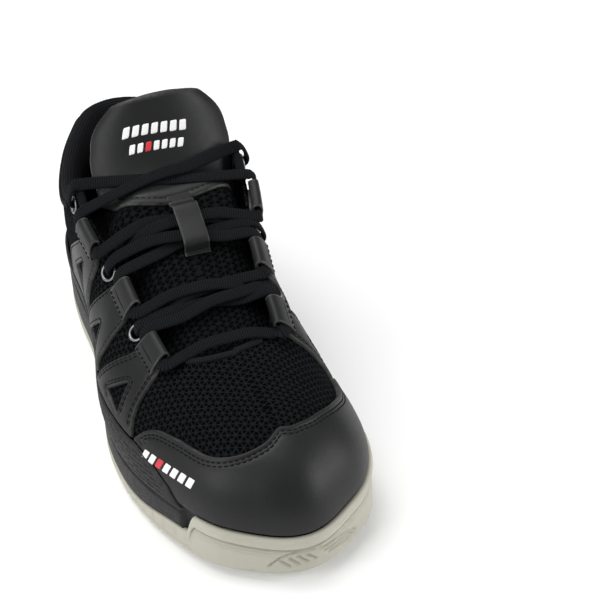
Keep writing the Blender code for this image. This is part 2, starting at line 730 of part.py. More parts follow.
# t and girth of the toe cap's rear edge on each side
CAP_EDGE = {
    -1: ((0.642, 12), (0.655, 13.5), (0.674, 23), (0.692, 26.5), (0.73, 28), (0.789, 29),
         (0.855, 35), (0.91, 42), (1.0, 50.5)),
    1: ((0.617, 20), (0.655, 18.5), (0.699, 22), (0.745, 30.5), (0.803, 39), (0.9, 46),
        (1.0, 50.5)),
}


def foot_girth(t, side):
    """Lowest girth of the leather: just over the midsole's top line or the bumper's lip."""
    return max(1.0, midsole_girth(float(y_at(t)), side) + 0.9)


def make_toe_cap():
    path = round_toe(0.662, 0.652, 20)

    def rear_edge(t, side):
        return float(np.interp(t, *zip(*CAP_EDGE[side])))

    points, faces = strip_chart(path, foot_girth, rear_edge, 5)
    shell("toe_cap", points, faces, LEATHER_LOW, LEATHER_HIGH, (CHARCOAL, 0.42))


def make_stiffeners():
    """Toe puff and heel counter, between the outer layer and the lining."""
    path = round_toe(0.73, 0.73, 14)
    points, faces = strip_chart(path, lambda t, side: 2.5,
                                lambda t, side: 2.5 + 30 * float(ease(t, 0.66, 0.86)), 6)
    shell("toe_puff", points, faces, STIFFENER_LOW, STIFFENER_HIGH, (FOAM, 0.8))
    path = round_heel(0.30, 0.30, 12)
    points, faces = strip_chart(path, lambda t, side: 2.5,
                                lambda t, side: 42 - 20 * float(ease(t, 0.12, 0.30)), 4)
    shell("heel_counter", points, faces, STIFFENER_LOW, STIFFENER_HIGH, (FOAM, 0.6))


def make_heel_overlay():
    """Leather back panel over the quarters' seam."""
    path = round_heel(0.215, 0.215, 12)

    def top_edge(t, side):
        return 66 - 34 * float(ease(t, 0.05, 0.215))

    points, faces = strip_chart(path, foot_girth, top_edge, 6)
    shell("heel_overlay", points, faces, LEATHER_LOW, LEATHER_HIGH, (CHARCOAL, 0.42))


def foot_edge(side, y_from, y_to, count=5):
    """Corners along the midsole's top line, for the foot of an overlay."""
    return [(y, foot_girth(float(t_at(y)), side)) for y in np.linspace(y_from, y_to, count)]


# y and girth of each overlay above its foot, from the rear of the foot over the top to the
# front of the foot, with the span of the foot and the corners of the open window
OVERLAYS = {
    "lateral_overlay_1": (-1, (76, 31), [(60, 38), (35, 57), (33, 66), (18, 62), (15, 53),
                                         (18, 38), (28, 22)], [(50, 32), (30, 48), (36, 20)]),
    "lateral_overlay_2": (-1, (27, -12), [(3, 49), (0, 57), (-17, 57), (-19, 47), (-18, 31)],
                          [(14, 19), (-4, 36), (-6, 17)]),
    "lateral_overlay_3": (-1, (-17, -70), [(-36, 44), (-37, 53), (-52.5, 50.5), (-57.5, 41.5),
                                           (-63, 26)], [(-35.5, 21), (-46.5, 33.5), (-52.5, 18)]),
    "medial_overlay_1": (1, (74, 20), [(52, 44), (30, 60), (28, 70), (13, 66), (11.5, 55),
                                       (15, 36)], [(44, 34), (26, 47), (26, 18)]),
    "medial_overlay_2": (1, (16, -24), [(0, 46), (-4, 59), (-21, 58), (-24, 46), (-27, 28)],
                         [(2, 20), (-10, 38), (-15, 18)]),
    "medial_overlay_3": (1, (-30, -66), [(-35.5, 41), (-37.5, 52.5), (-52, 50.5), (-56, 40),
                                         (-61, 22)], [(-40, 13), (-47, 29), (-54, 13)]),
}


def make_overlays():
    for name, (side, (rear, front), top, window) in OVERLAYS.items():
        corners = foot_edge(side, front, rear) + top
        panel(name, side, corners, LEATHER_LOW, LEATHER_HIGH, (CHARCOAL, 0.42), [window])


def make_loop(name, side, y, girth):
    """Lace loop: a flat leather-covered tunnel over the throat's edge, open at both ends."""
    here, normal, back, inward = frame_at(side, y, girth, LEATHER_HIGH + 0.6)
    half, wall = LOOP_WIDTH / 2, LOOP_WALL

    def section(in_by):
        across, low, high = half - in_by, in_by, LOOP_HEIGHT - in_by
        bevel = 1.4 if in_by == 0 else 0.9
        return [(-across, low), (across, low), (across, high - bevel), (across - bevel, high),
                (bevel - across, high), (-across, high - bevel)]

    points = []
    for end in (-0.5, 0.5):
        for in_by in (0, wall):
            for across, height in section(in_by):
                points.append(here + back * LOOP_LENGTH * end + inward * across + normal * height)
    count = 6
    faces = []
    for i in range(count):
        j = (i + 1) % count
        faces.append((i, j, j + 2 * count, i + 2 * count))
        faces.append((i + count, j + count, j + 3 * count, i + 3 * count))
        faces.append((i, j, j + count, i + count))
        faces.append((i + 2 * count, j + 2 * count, j + 3 * count, i + 3 * count))
    add_object(name, points, faces, (CHARCOAL, 0.42))


def make_eyelet(name, side, y, girth):
    """Metal eyelet: a flange on the knit and a barrel through it."""
    here, normal, back, inward = frame_at(side, y, girth)
    profile = [(EYELET_BORE, -MESH_THICK - 0.4), (EYELET_BARREL, -MESH_THICK - 0.4),
               (EYELET_BARREL, 0.4), (EYELET_FLANGE, 0.4), (EYELET_FLANGE - 0.3, 1.1),
               (EYELET_BORE + 0.3, 1.2), (EYELET_BORE, 0.8)]
    count, points, faces = 14, [], []
    for i in range(count):
        turn = 2 * math.pi * i / count
        out = math.cos(turn) * back + math.sin(turn) * inward
        points += [here + out * radius + normal * height for radius, height in profile]
    width = len(profile)
    for i in range(count):
        j = (i + 1) % count
        for a in range(width):
            b = (a + 1) % width
            faces.append((i * width + a, i * width + b, j * width + b, j * width + a))
    add_object(name, points, faces, (STEEL, 0.25, 1.0), smooth_faces=True)


def make_lace_fittings():
    for side, word in ((-1, "lateral"), (1, "medial")):
        for i in range(3):
            make_loop(f"lace_loop_{word}_{3 - i}", side, *LOOPS[side][i])
            make_eyelet(f"eyelet_{word}_{3 - i}", side, *EYELETS[side][i])


def make_collar():
    """Padded collar: foam under the rim, the lining inside it and a rolled binding on top."""
    low_foam, foam_front = 47.0, 0.372
    rims = {side: rim_line(side) for side in (-1, 1)}

    def rim_girth(t, side):
        return float(np.interp(float(y_at(t)), rims[side][:, 0], rims[side][:, 1]))

    def girth_depth(near, far):
        return lambda t, k: near + (far - near) * ease(girth_at(t, k), 45, 58)

    path = round_heel(foam_front, foam_front, 18)
    points, faces = strip_chart(path, lambda t, side: low_foam,
                                lambda t, side: rim_girth(t, side) - 2.0, 3)
    shell("collar_foam", points, faces, girth_depth(-4.2, -7.4), -2.4, (FOAM, 0.9))
    points, faces = strip_chart(path, lambda t, side: 2.5,
                                lambda t, side: rim_girth(t, side) - 2.0, 8)
    shell("collar_lining", points, faces, girth_depth(-6.2, -9.6), girth_depth(-5.0, -8.4),
          (BLACK, 0.9))
    route = [surface(t, float(k_at(t, side, rim_girth(t, side) + 2.6)), -4.4)
             for side, t in round_heel(foam_front, foam_front, 24)]
    tube("collar_binding", route, 3.0, (BLACK, 0.85), resolution=3)


def make_throat_binding():
    """Folded piping round the front of the throat."""
    sides = {}
    for side in (-1, 1):
        line = curve_walk(THROAT[side], 5.0)
        line = line[(line[:, 0] < -57.5)]
        t, k = chart(side, np.column_stack([line[:, 0] - 0.4, line[:, 1]])).T
        sides[side] = surface(t, k, 1.1)
    route = np.vstack([sides[-1][::-1], sides[1][1:]])
    tube("throat_binding", route, 0.9, (BLACK, 0.8))


# --- tongue ---------------------------------------------------------------------------------
# y, x, z of the tongue's middle line above the throat, half width, drop and lean of its edges
TONGUE_TOP = (
    (30, 5, 101.5, 31, 20, 6), (44, 6.5, 112, 35.5, 20, 8), (52, 8, 124, 36, 19, 11),
    (58, 9.5, 135, 30.5, 15, 12), (61, 10.5, 142, 20.5, 9, 8),
)
TONGUE_FRONT, TONGUE_END, TONGUE_LEAVES = -84.0, 61.0, (20.0, 40.0)
FLEX_AXIS = (8.0, 42.5, 108.0)


def tongue_point(v, h):
    """Outer face of the tongue at v (its middle line's y) and h (-1 to 1 across)."""
    v, h = np.asarray(v, float), np.asarray(h, float)
    t = t_at(np.minimum(v, 44.0))
    width = 0.44 + 0.15 * ease(v, -80, -30)
    sunk = -4.0 - 2.0 * ease(np.abs(h), 0.3, 0.62)
    lasted = surface(t, h * width, sunk)
    x, z, half, drop, lean = (smooth(TONGUE_TOP, v, column) for column in (1, 2, 3, 4, 5))
    arch = 1 - np.sqrt(np.clip(1 - (np.abs(h) * 0.92) ** 2.4, 0, 1))
    free = np.stack([x + half * h, v + lean * arch, z - drop * arch], -1)
    w = ease(v, *TONGUE_LEAVES)[..., None]
    return lasted * (1 - w) + free * w


def tongue_grid(v, h):
    """Points of the tongue's outer face on a grid, and its normals."""
    vv, hh = np.meshgrid(v, h, indexing="ij")
    outer = tongue_point(vv, hh)
    along = tongue_point(vv + 0.5, hh) - tongue_point(vv - 0.5, hh)
    across = tongue_point(vv, hh + 0.01) - tongue_point(vv, hh - 0.01)
    normal = np.cross(across, along)
    normal /= np.linalg.norm(normal, axis=-1, keepdims=True)
    return outer, normal


def padded_grid(name, v, h, low, high, finish, origin=(0, 0, 0)):
    """A pad between two depths below the tongue's outer face, thinner along its edges."""
    outer, normal = tongue_grid(v, h)
    edge = np.clip(1 - np.abs(np.asarray(h)) ** 4 * 0.55, 0, 1)[None, :, None]
    top = outer + normal * high
    bottom = outer + normal * (high + (low - high) * edge)
    rows, columns = top.shape[:2]
    points = np.vstack([top.reshape(-1, 3), bottom.reshape(-1, 3)])
    n = rows * columns
    faces = []
    for r in range(rows - 1):
        for c in range(columns - 1):
            a = r * columns + c
            quad = (a, a + 1, a + columns + 1, a + columns)
            faces += [quad, tuple(corner + n for corner in quad[::-1])]
    rim = ([r * columns for r in range(rows)]
           + [(rows - 1) * columns + c for c in range(1, columns)]
           + [r * columns + columns - 1 for r in range(rows - 2, -1, -1)]
           + [c for c in range(columns - 2, 0, -1)])
    faces += [(rim[i], rim[(i + 1) % len(rim)], rim[(i + 1) % len(rim)] + n, rim[i] + n)
              for i in range(len(rim))]
    return add_object(name, points, faces, finish, smooth_faces=True, origin=origin)


def make_tongue():
    h = np.linspace(-1, 1, 13)
    padded_grid("tongue_pad_lower", np.linspace(TONGUE_FRONT, 40.6, 19), h, -TONGUE_THICK, 0,
                (MESH_BLACK, 0.95))
    upper_rows = np.linspace(44.4, TONGUE_END, 6)
    padded_grid("tongue_pad_upper", upper_rows, h, -TONGUE_THICK, 0, (BLACK, 0.9), FLEX_AXIS)
    padded_grid("tongue_cover", np.linspace(45.2, TONGUE_END - 0.5, 5),
                np.linspace(-0.93, 0.93, 11), 0.4, 1.6, (CHARCOAL, 0.42), FLEX_AXIS)


# --- lace -----------------------------------------------------------------------------------
def off_tongue(v, h, rise):
    """A point this far out from the tongue's outer face."""
    outer, normal = tongue_grid([v], [h])
    return outer[0, 0] + normal[0, 0] * rise


def across_tongue(side_from, v_from, v_to, rise):
    """Lace route over the tongue, from one side to the other, raised at its middle."""
    route = []
    for h in (-0.5, -0.25, 0.0, 0.25, 0.5):
        share = h + 0.5
        lift = LACE_REST + rise * (1 - (2 * abs(h)) ** 2)
        route.append(off_tongue(v_from + (v_to - v_from) * share, -h * side_from, lift))
    return route


def through_loop(side, place):
    """Lace route through a loop from its front mouth to its rear mouth."""
    here, normal, back, inward = frame_at(side, *place, LEATHER_HIGH + 0.6 + LOOP_HEIGHT / 2)
    half = LOOP_LENGTH / 2
    return [here - back * (half + 3.5) + inward * 3.5, here - back * half,
            here + back * half, here + back * (half + 3.5) + inward * 3.5]


def through_eyelet(side, place):
    """Lace route over the edge of the throat and down through an eyelet."""
    return over_edge(side, place, ((2.5, 1.8), (-1.0, 2.8))) + [
        on_upper(side, place, inward, depth)
        for inward, depth in ((2.2, 2.8), (0.3, 1.0), (0.0, -1.4), (0.9, -3.3))]


def on_upper(side, place, inward, depth):
    """A point further in along the upper from a place in y and girth, at a depth."""
    y, girth = place
    t, k = chart(side, [(y, girth + inward)])[0]
    return surface(t, k, depth)


def over_edge(side, place, steps):
    """Points past the throat's edge beside an eyelet, as distances beyond the edge and depths."""
    y, girth = place
    line = throat_line(side)
    edge = float(np.interp(y, line[:, 0], line[:, 1])) - girth
    return [on_upper(side, place, edge + beyond, depth) for beyond, depth in steps]


def half_lace(side, rises):
    """One end's route: loops on its own side, eyelets on the other, then the tail inside."""
    route = []
    for i in range(3):
        loop, eyelet = LOOPS[side][i], EYELETS[-side][i]
        route += through_loop(side, loop)
        route += across_tongue(side, loop[0] + 9, min(eyelet[0], LACE_REAR), rises[i])
        route += through_eyelet(-side, eyelet)
        if i < 2:
            route += over_edge(-side, eyelet, ((-3.0, -3.7), (1.5, -3.8)))
            route += across_tongue(-side, eyelet[0] + 2, LOOPS[side][i + 1][0] - 10, rises[i])
    t, k = chart(-side, TAIL[-side]).T
    return route + list(surface(t, k, -TAIL_DEPTH))


def make_lace():
    """One lace from aglet to aglet, crossing itself over the tongue, and its two aglets."""
    over, under = half_lace(-1, LACE_OVER), half_lace(1, LACE_UNDER)
    bar = [off_tongue(LOOPS[-1][0][0] - 10, h, LACE_REST + BAR_RISE + 2 * abs(h))
           for h in (-0.5, -0.25, 0.0, 0.25, 0.5)]
    tube("lace", over[::-1] + bar + under, LACE_RADIUS, (BLACK, 0.9))
    for number, route in ((1, over), (2, under)):
        end, before = route[-1], route[-2]
        along = (end - before) / np.linalg.norm(end - before)
        start = end + along * GAP
        tube(f"aglet_{number}", [start, start + along * AGLET_LENGTH], AGLET_RADIUS,
             (BLACK, 0.3), resolution=2)


def make_keeper():
    """Strap on the tongue that holds two crossings of the lace."""
    profile = ((-6.4, 0.5), (-4.4, 0.5), (-3.6, 5.6), (-2.0, 7.0), (14.5, 6.8), (16.5, 5.2),
               (18.5, 0.5), (23.0, 0.4))
    points = []
    for v, rise in profile:
        for h in np.linspace(-0.17, 0.17, 4):
            points += [off_tongue(v, h + 0.03, rise), off_tongue(v, h + 0.03, rise + 1.0)]
    rows, columns, faces = len(profile), 4, []

    def at(r, c, top):
        return (r * columns + c) * 2 + top

    for r in range(rows - 1):
        for c in range(columns - 1):
            for top in (0, 1):
                quad = (at(r, c, top), at(r, c + 1, top), at(r + 1, c + 1, top), at(r + 1, c, top))
                faces.append(quad)
        for c in (0, columns - 1):
            faces.append((at(r, c, 0), at(r, c, 1), at(r + 1, c, 1), at(r + 1, c, 0)))
    for r in (0, rows - 1):
        faces += [(at(r, c, 0), at(r, c + 1, 0), at(r, c + 1, 1), at(r, c, 1))
                  for c in range(columns - 1)]
    add_object("lace_keeper", points, faces, (CHARCOAL, 0.42))


def main():
    clear_scene()
    make_outsole()
    make_midsole()
    make_footbed()
    make_vamp()
    make_quarter(-1, "quarter_mesh_lateral")
    make_quarter(1, "quarter_mesh_medial")
    make_toe_cap()
    make_stiffeners()
    make_heel_overlay()
    make_overlays()
    make_lace_fittings()
    make_collar()
    make_throat_binding()
    make_tongue()
    make_keeper()
    make_lace()


main()
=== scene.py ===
"""Indoor court shoe: the detailed pieces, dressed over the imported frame.

Frame: +Z up, toe towards -Y, heel towards +Y, lateral side towards -X. Lengths are in
millimetres until an object is made. The upper is one lasted surface: t runs from the heel tip
(0) to the toe tip (1), k from the lateral feather line (-1) over the ridge (0) to the medial
feather line (+1). Girth is millimetres up the surface from the feather line.
"""

import math

import bmesh
import bpy
import numpy as np
from mathutils import Matrix, Vector
from mathutils.geometry import delaunay_2d_cdt


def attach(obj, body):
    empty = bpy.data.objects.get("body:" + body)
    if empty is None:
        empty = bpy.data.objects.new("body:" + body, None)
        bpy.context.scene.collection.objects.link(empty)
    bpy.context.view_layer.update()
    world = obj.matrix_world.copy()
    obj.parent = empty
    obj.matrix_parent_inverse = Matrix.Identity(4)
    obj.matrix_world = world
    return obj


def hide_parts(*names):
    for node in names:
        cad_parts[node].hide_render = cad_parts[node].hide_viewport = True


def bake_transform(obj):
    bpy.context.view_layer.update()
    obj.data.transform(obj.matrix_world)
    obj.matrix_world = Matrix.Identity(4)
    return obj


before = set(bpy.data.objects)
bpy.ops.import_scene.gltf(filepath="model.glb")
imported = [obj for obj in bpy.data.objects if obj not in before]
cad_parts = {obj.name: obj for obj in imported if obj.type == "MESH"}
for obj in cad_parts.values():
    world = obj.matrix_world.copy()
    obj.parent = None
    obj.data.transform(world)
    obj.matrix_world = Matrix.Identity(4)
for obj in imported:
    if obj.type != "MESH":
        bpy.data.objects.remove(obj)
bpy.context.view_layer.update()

MM = 0.001
SIDES = ((-1, "lateral"), (1, "medial"))

# --- dimensions shared with the frame -------------------------------------------------------
HALF_LENGTH = 148.0
FEATHER_INSET = 3.5
# y, then x of the sole's edge on the lateral and on the medial side
OUTLINE = (
    (148, -2, -2), (133, -30, 25.5), (109, -40.5, 35.5), (79, -43.5, 39), (44, -44, 37),
    (5, -48.5, 39.5), (-30, -55, 46.5), (-55, -55, 53), (-80, -51, 57), (-105, -42, 54.5),
    (-126, -30.5, 44.5), (-140, -13.5, 28), (-148, 8, 8),
)
# y, feather z, ridge z, ridge x, lateral and medial fullness, lateral and medial flare, bulge
SECTIONS = (
    (148, 31, 122, -2, 4.5, 4.5, -5, 5, 1.0),
    (129, 30.5, 123.2, -1.5, 4.8, 4.8, -11, 4, 1.3),
    (110, 30, 124, -1, 5.0, 5.0, -9, 5, 1.5),
    (80, 29, 122, 0, 5.5, 5.5, 1, 14, 1.5),
    (45, 28, 117, 2, 5.5, 5.5, 2, 21, 1.5),
    (26, 27, 107, 3, 3.8, 5.2, 0, 17, 1.5),
    (8, 26, 96, 4, 2.7, 4.8, 0, 11, 2.0),
    (-12, 25, 86, 4, 2.2, 4.6, 0, 4, 2.0),
    (-30, 24, 78, 4, 2.0, 4.0, 0, 0, 2.0),
    (-46, 23.3, 72, 5, 2.0, 2.9, 0, -1, 1.8),
    (-62, 24, 67.5, 6, 2.15, 2.2, 0, -2, 1.0),
    (-84, 26.5, 64, 7, 2.25, 2.0, 0, -3, 0.0),
    (-120, 27.5, 62.6, 8, 2.2, 2.05, 0, -1, 0.0),
    (-148, 26, 62, 8, 2.1, 2.1, 0, 0, 0.0),
)
TOE_FAN, TOE_RIDGE_END = -60.0, -98.0
HEEL_FAN, HEEL_RIDGE_END = 95.0, 113.0
HEEL_CURVE = ((0, 0), (30, 0), (45, 1.5), (62, 0.0), (80, -3.0), (98, -1.5), (125, 2))
TOE_SPRING, TOE_SPRING_START = 4.5, -75.0
HEEL_RISE, HEEL_RISE_START = 3.0, 125.0
BUMPER_END = {-1: -113.0, 1: -88.0}
STRIP_TOP, OUTSOLE_FLOOR = 7.5, 5.5
BUMPER_WALL = 3.4
BED_DEPTH, BED_INSET = 6.5, 10.0
BOARD_THICK = 1.5
# Places on the upper from here on are y and girth, for each side
MIDSOLE_TOP = {
    -1: ((-108.5, 0.0), (-102, 5.5), (-90, 10.5), (-75, 14), (-50, 15), (-30, 14), (-10, 12),
         (20, 9.5), (60, 7), (100, 6), (148, 6)),
    1: ((-83.5, 0.0), (-75, 2), (-50, 4), (0, 5), (60, 6), (100, 6), (148, 6)),
}
MESH_THICK = 1.6
LEATHER_HIGH = 1.9
TONGUE_THICK = 6.0
LOOP_LENGTH = 17.0
EYELET_BARREL, EYELET_BORE = 3.7, 3.2
LOOPS = {
    -1: ((-45, 51), (-11, 55.5), (26, 63)),
    1: ((-44, 50), (-13, 58), (20, 67)),
}
EYELETS = {
    -1: ((-28, 50), (8, 56), (47, 69)),
    1: ((-30, 48), (5, 54), (44, 74)),
}
THROAT = {
    -1: ((-63, 80), (-62, 69), (-58, 59.5), (-50, 54.5), (-40, 55), (-28, 56.5), (-11, 58),
         (8, 62.5), (26, 67), (38, 72), (47, 77)),
    1: ((-63, 80), (-62, 71), (-58, 58.5), (-51.5, 53.5), (-43, 53), (-31, 55.5), (-13, 60),
        (5, 63.5), (20, 69), (34, 76), (45, 82)),
}
RIM = {
    -1: ((47, 77), (52, 74), (60, 63), (78, 57), (95, 58.5), (115, 63), (136, 67), (148, 67)),
    1: ((45, 82), (52, 79), (61, 68), (78, 61), (95, 61), (115, 64), (136, 67), (148, 67)),
}
SEAM_Y = -8.0
LACE_REST, LACE_OVER, LACE_UNDER = 2.2, (3.0, 0.0, 3.0), (0.0, 3.0, 0.0)
LACE_REAR, BAR_RISE = 40.0, 4.0
TAIL = {
    -1: ((46, 60), (45, 50), (43.5, 39), (42, 29)),
    1: ((43, 64), (42, 52), (41, 40), (40, 29)),
}
TAIL_DEPTH = 4.0
AGLET_LENGTH, AGLET_RADIUS = 13.0, 1.3
BASE_GIRTH = 1.3
# t and girth of the toe cap's rear edge
CAP_EDGE = {
    -1: ((0.642, 12), (0.655, 13.5), (0.674, 23), (0.692, 26.5), (0.73, 28), (0.789, 29),
         (0.855, 35), (0.91, 42), (1.0, 50.5)),
    1: ((0.617, 20), (0.655, 18.5), (0.699, 22), (0.745, 30.5), (0.803, 39), (0.9, 46),
        (1.0, 50.5)),
}
# Side, rear and front y of the foot, corners of the top edge, corners of the window
OVERLAYS = {
    "lateral_overlay_1": (-1, (76, 31), [(60, 38), (35, 57), (33, 66), (18, 62), (15, 53),
                                         (18, 38), (28, 22)], [(50, 32), (30, 48), (36, 20)]),
    "lateral_overlay_2": (-1, (27, -12), [(3, 49), (0, 57), (-17, 57), (-19, 47), (-18, 31)],
                          [(14, 19), (-4, 36), (-6, 17)]),
    "lateral_overlay_3": (-1, (-17, -70), [(-36, 44), (-37, 53), (-52.5, 50.5), (-57.5, 41.5),
                                           (-63, 26)], [(-35.5, 21), (-46.5, 33.5), (-52.5, 18)]),
    "medial_overlay_1": (1, (74, 20), [(52, 44), (30, 60), (28, 70), (13, 66), (11.5, 55),
                                       (15, 36)], [(44, 34), (26, 47), (26, 18)]),
    "medial_overlay_2": (1, (16, -24), [(0, 46), (-4, 59), (-21, 58), (-24, 46), (-27, 28)],
                         [(2, 20), (-10, 38), (-15, 18)]),
    "medial_overlay_3": (1, (-30, -66), [(-35.5, 41), (-37.5, 52.5), (-52, 50.5), (-56, 40),
                                         (-61, 22)], [(-40, 13), (-47, 29), (-54, 13)]),
}
# v, x, z, half width, drop and lean of the free top of the tongue
TONGUE_TOP = (
    (30, 5, 101.5, 31, 20, 6), (44, 6.5, 112, 35.5, 20, 8), (52, 8, 124, 36, 19, 11),
    (58, 9.5, 135, 30.5, 15, 12), (61, 10.5, 142, 20.5, 9, 8),
)
TONGUE_FRONT, TONGUE_END, TONGUE_LEAVES = -84.0, 61.0, (20.0, 40.0)


# --- the lasted surface ---------------------------------------------------------------------
def smooth(table, x, column):
    """Cubic Hermite curve through one column of a table whose first column is monotonic."""
    xs = np.array([row[0] for row in table], float)
    ys = np.array([row[column] for row in table], float)
    if xs[0] > xs[-1]:
        xs, ys = xs[::-1], ys[::-1]
    slopes = np.gradient(ys, xs)
    x = np.clip(x, xs[0], xs[-1])
    i = np.clip(np.searchsorted(xs, x) - 1, 0, len(xs) - 2)
    h = xs[i + 1] - xs[i]
    s = (x - xs[i]) / h
    return ((1 + 2 * s) * (1 - s) ** 2 * ys[i] + s * (1 - s) ** 2 * h * slopes[i]
            + s * s * (3 - 2 * s) * ys[i + 1] + s * s * (s - 1) * h * slopes[i + 1])


def ease(x, start, end):
    """0 before start, 1 after end, and smooth between."""
    s = np.clip((np.asarray(x, float) - start) / (end - start), 0, 1)
    return s * s * (3 - 2 * s)


def t_at(y):
    """Coordinate t of a station along the shoe."""
    return np.arccos(np.clip(np.asarray(y, float) / HALF_LENGTH, -1, 1)) / math.pi


def y_at(t):
    """Station of t; past a tip it turns back."""
    t = np.asarray(t, float)
    return HALF_LENGTH * np.cos(math.pi * np.where(t > 1, 2 - t, np.abs(t)))


OUTLINE_BY_T = tuple((float(t_at(y)), lateral, medial) for y, lateral, medial in OUTLINE)


def outline_raw(t, side):
    """The outline's x and y; past a tip it carries on along the other side."""
    past = (t < 0) | (t > 1)
    folded = np.where(t < 0, -t, np.where(t > 1, 2 - t, t))
    own, other = (1, 2) if side < 0 else (2, 1)
    x = np.where(past, smooth(OUTLINE_BY_T, folded, other), smooth(OUTLINE_BY_T, folded, own))
    return x, y_at(folded)


def outline(t, side, inset=0.0):
    """The outline at t, moved in by inset along its own normal."""
    t = np.asarray(t, float)
    x, y = outline_raw(t, side)
    step = 2e-3
    x0, y0 = outline_raw(t - step, side)
    x1, y1 = outline_raw(t + step, side)
    length = np.hypot(x1 - x0, y1 - y0)
    return x + side * inset * (y1 - y0) / length, y - side * inset * (x1 - x0) / length


def ridge_y(y):
    """Where the ridge point of a section lies: sections fan out round the toe and the heel."""
    y = np.asarray(y, float)
    toe_span, toe_run = HALF_LENGTH + TOE_FAN, TOE_FAN - TOE_RIDGE_END
    heel_span, heel_run = HALF_LENGTH - HEEL_FAN, HEEL_RIDGE_END - HEEL_FAN
    p = np.clip((TOE_FAN - y) / toe_span, 0, 1)
    q = np.clip((y - HEEL_FAN) / heel_span, 0, 1)
    toe = TOE_FAN - toe_run * (1 - (1 - p) ** (toe_span / toe_run))
    heel = HEEL_FAN + heel_run * (1 - (1 - q) ** (heel_span / heel_run))
    return np.where(y < TOE_FAN, toe, np.where(y > HEEL_FAN, heel, y))


def section_point(t, g):
    """Point of the lasted surface at t and section angle g (-1 lateral, 0 ridge, 1 medial)."""
    side = np.where(g < 0, -1, 1)
    xl, yl = outline(t, -1, FEATHER_INSET)
    xm, ym = outline(t, 1, FEATHER_INSET)
    foot_x, foot_y = np.where(side < 0, xl, xm), np.where(side < 0, yl, ym)
    y = y_at(t)
    foot_z, ridge_z, ridge_x = (smooth(SECTIONS, y, column) for column in (1, 2, 3))
    full = np.where(side < 0, smooth(SECTIONS, y, 4), smooth(SECTIONS, y, 5))
    flare = np.where(side < 0, smooth(SECTIONS, y, 6), smooth(SECTIONS, y, 7))
    bulge = smooth(SECTIONS, y, 8) / 45
    angle = np.abs(g) * math.pi / 2
    out = np.sin(angle) ** (2 / full)
    up = np.abs(np.cos(angle)) ** (2 / full)
    out = out + bulge * np.sin(math.pi * np.clip(up, 0, 1)) * (1 - up) * 2
    x = ridge_x + out * (foot_x - ridge_x) + side * flare * np.clip(out, 0, 1) * up ** 1.5
    spine = ridge_y(y)
    py = spine + out * (foot_y - spine)
    z = foot_z + (ridge_z - foot_z) * up
    heights, shifts = zip(*HEEL_CURVE)
    py = py + ease(py, 90, 149) * np.interp(z, heights, shifts)
    return np.stack([x, py, z], -1)


def section_angles():
    """Angles g on a grid of t and k, so that k runs evenly along each section, and half girths."""
    ts, fine = np.linspace(0, 1, 201), np.linspace(0, 1, 241)
    fractions = np.linspace(0, 1, 81)
    angles, girths = {}, {}
    for side in (-1, 1):
        points = section_point(ts[:, None], side * np.maximum(fine[::-1], 1e-6)[None, :])
        runs = np.concatenate([np.zeros((len(ts), 1)),
                               np.cumsum(np.linalg.norm(np.diff(points, axis=1), axis=-1), 1)], 1)
        girths[side] = runs[:, -1]
        angles[side] = np.array([np.interp(fractions * run[-1], run, fine[::-1]) for run in runs])
    return ts, fractions, angles, girths


TS, FRACTIONS, ANGLES, GIRTHS = section_angles()


def angle_at(t, k):
    """Section angle g at t for the even coordinate k, read from the grid."""
    folded = np.clip(np.where(t > 1, 2 - t, np.abs(t)), 0, 1)
    column = (1 - np.abs(k)) * (len(FRACTIONS) - 1)
    row = folded * (len(TS) - 1)
    r0 = np.clip(row.astype(int), 0, len(TS) - 2)
    c0 = np.clip(column.astype(int), 0, len(FRACTIONS) - 2)
    fr, fc = row - r0, column - c0
    g = np.zeros_like(row)
    for side in (-1, 1):
        table = ANGLES[side]
        value = ((1 - fr) * ((1 - fc) * table[r0, c0] + fc * table[r0, c0 + 1])
                 + fr * ((1 - fc) * table[r0 + 1, c0] + fc * table[r0 + 1, c0 + 1]))
        g = np.where((k < 0) == (side < 0), side * value, g)
    return g


def surface(t, k, depth=0.0):
    """Point on the upper at t and k, moved out along the normal by depth."""
    t, k, depth = np.broadcast_arrays(np.asarray(t, float), np.asarray(k, float),
                                      np.asarray(depth, float))
    g = angle_at(t, k)
    step = 1e-3
    near = np.clip(g, -1 + step, 1 - step)
    along = section_point(t + step, g) - section_point(t - step, g)
    across = section_point(t, near + step) - section_point(t, near - step)
    normal = np.cross(along, across)
    normal /= np.maximum(np.linalg.norm(normal, axis=-1, keepdims=True), 1e-9)
    return section_point(t, g) + normal * depth[..., None]


def k_at(t, side, girth):
    """Coordinate k this many millimetres of girth up from the feather line."""
    half = np.interp(np.clip(t, 0, 1), TS, GIRTHS[side])
    return side * np.clip(1 - np.asarray(girth, float) / half, 0, 1)


def half_girth(t, side):
    """Girth from the feather line to the ridge, where side is negative for lateral."""
    return np.where(side < 0, np.interp(t, TS, GIRTHS[-1]), np.interp(t, TS, GIRTHS[1]))


def girth_at(t, k):
    """Millimetres of girth up from the feather line at t and k."""
    return (1 - np.abs(k)) * half_girth(t, k)


def chart(side, corners):
    """(t, k) of points given as y of the section and girth."""
    y, girth = np.array(corners, float).T
    t = t_at(y)
    return np.column_stack([t, k_at(t, side, girth)])


def frame_at(side, y, girth, depth=0.0):
    """Point on the upper with its normal, its rearward direction and its inward direction."""
    t, k = chart(side, [(y, girth)])[0]
    here = surface(t, k, depth)
    normal = surface(t, k, 1.0) - surface(t, k, 0.0)
    back = surface(t - 0.004, k) - surface(t + 0.004, k)
    back = back - normal * back.dot(normal)
    back /= np.linalg.norm(back)
    inward = np.cross(back, normal) * side * -1
    if inward[0] * side > 0:
        inward = -inward
    return here, normal, back, inward


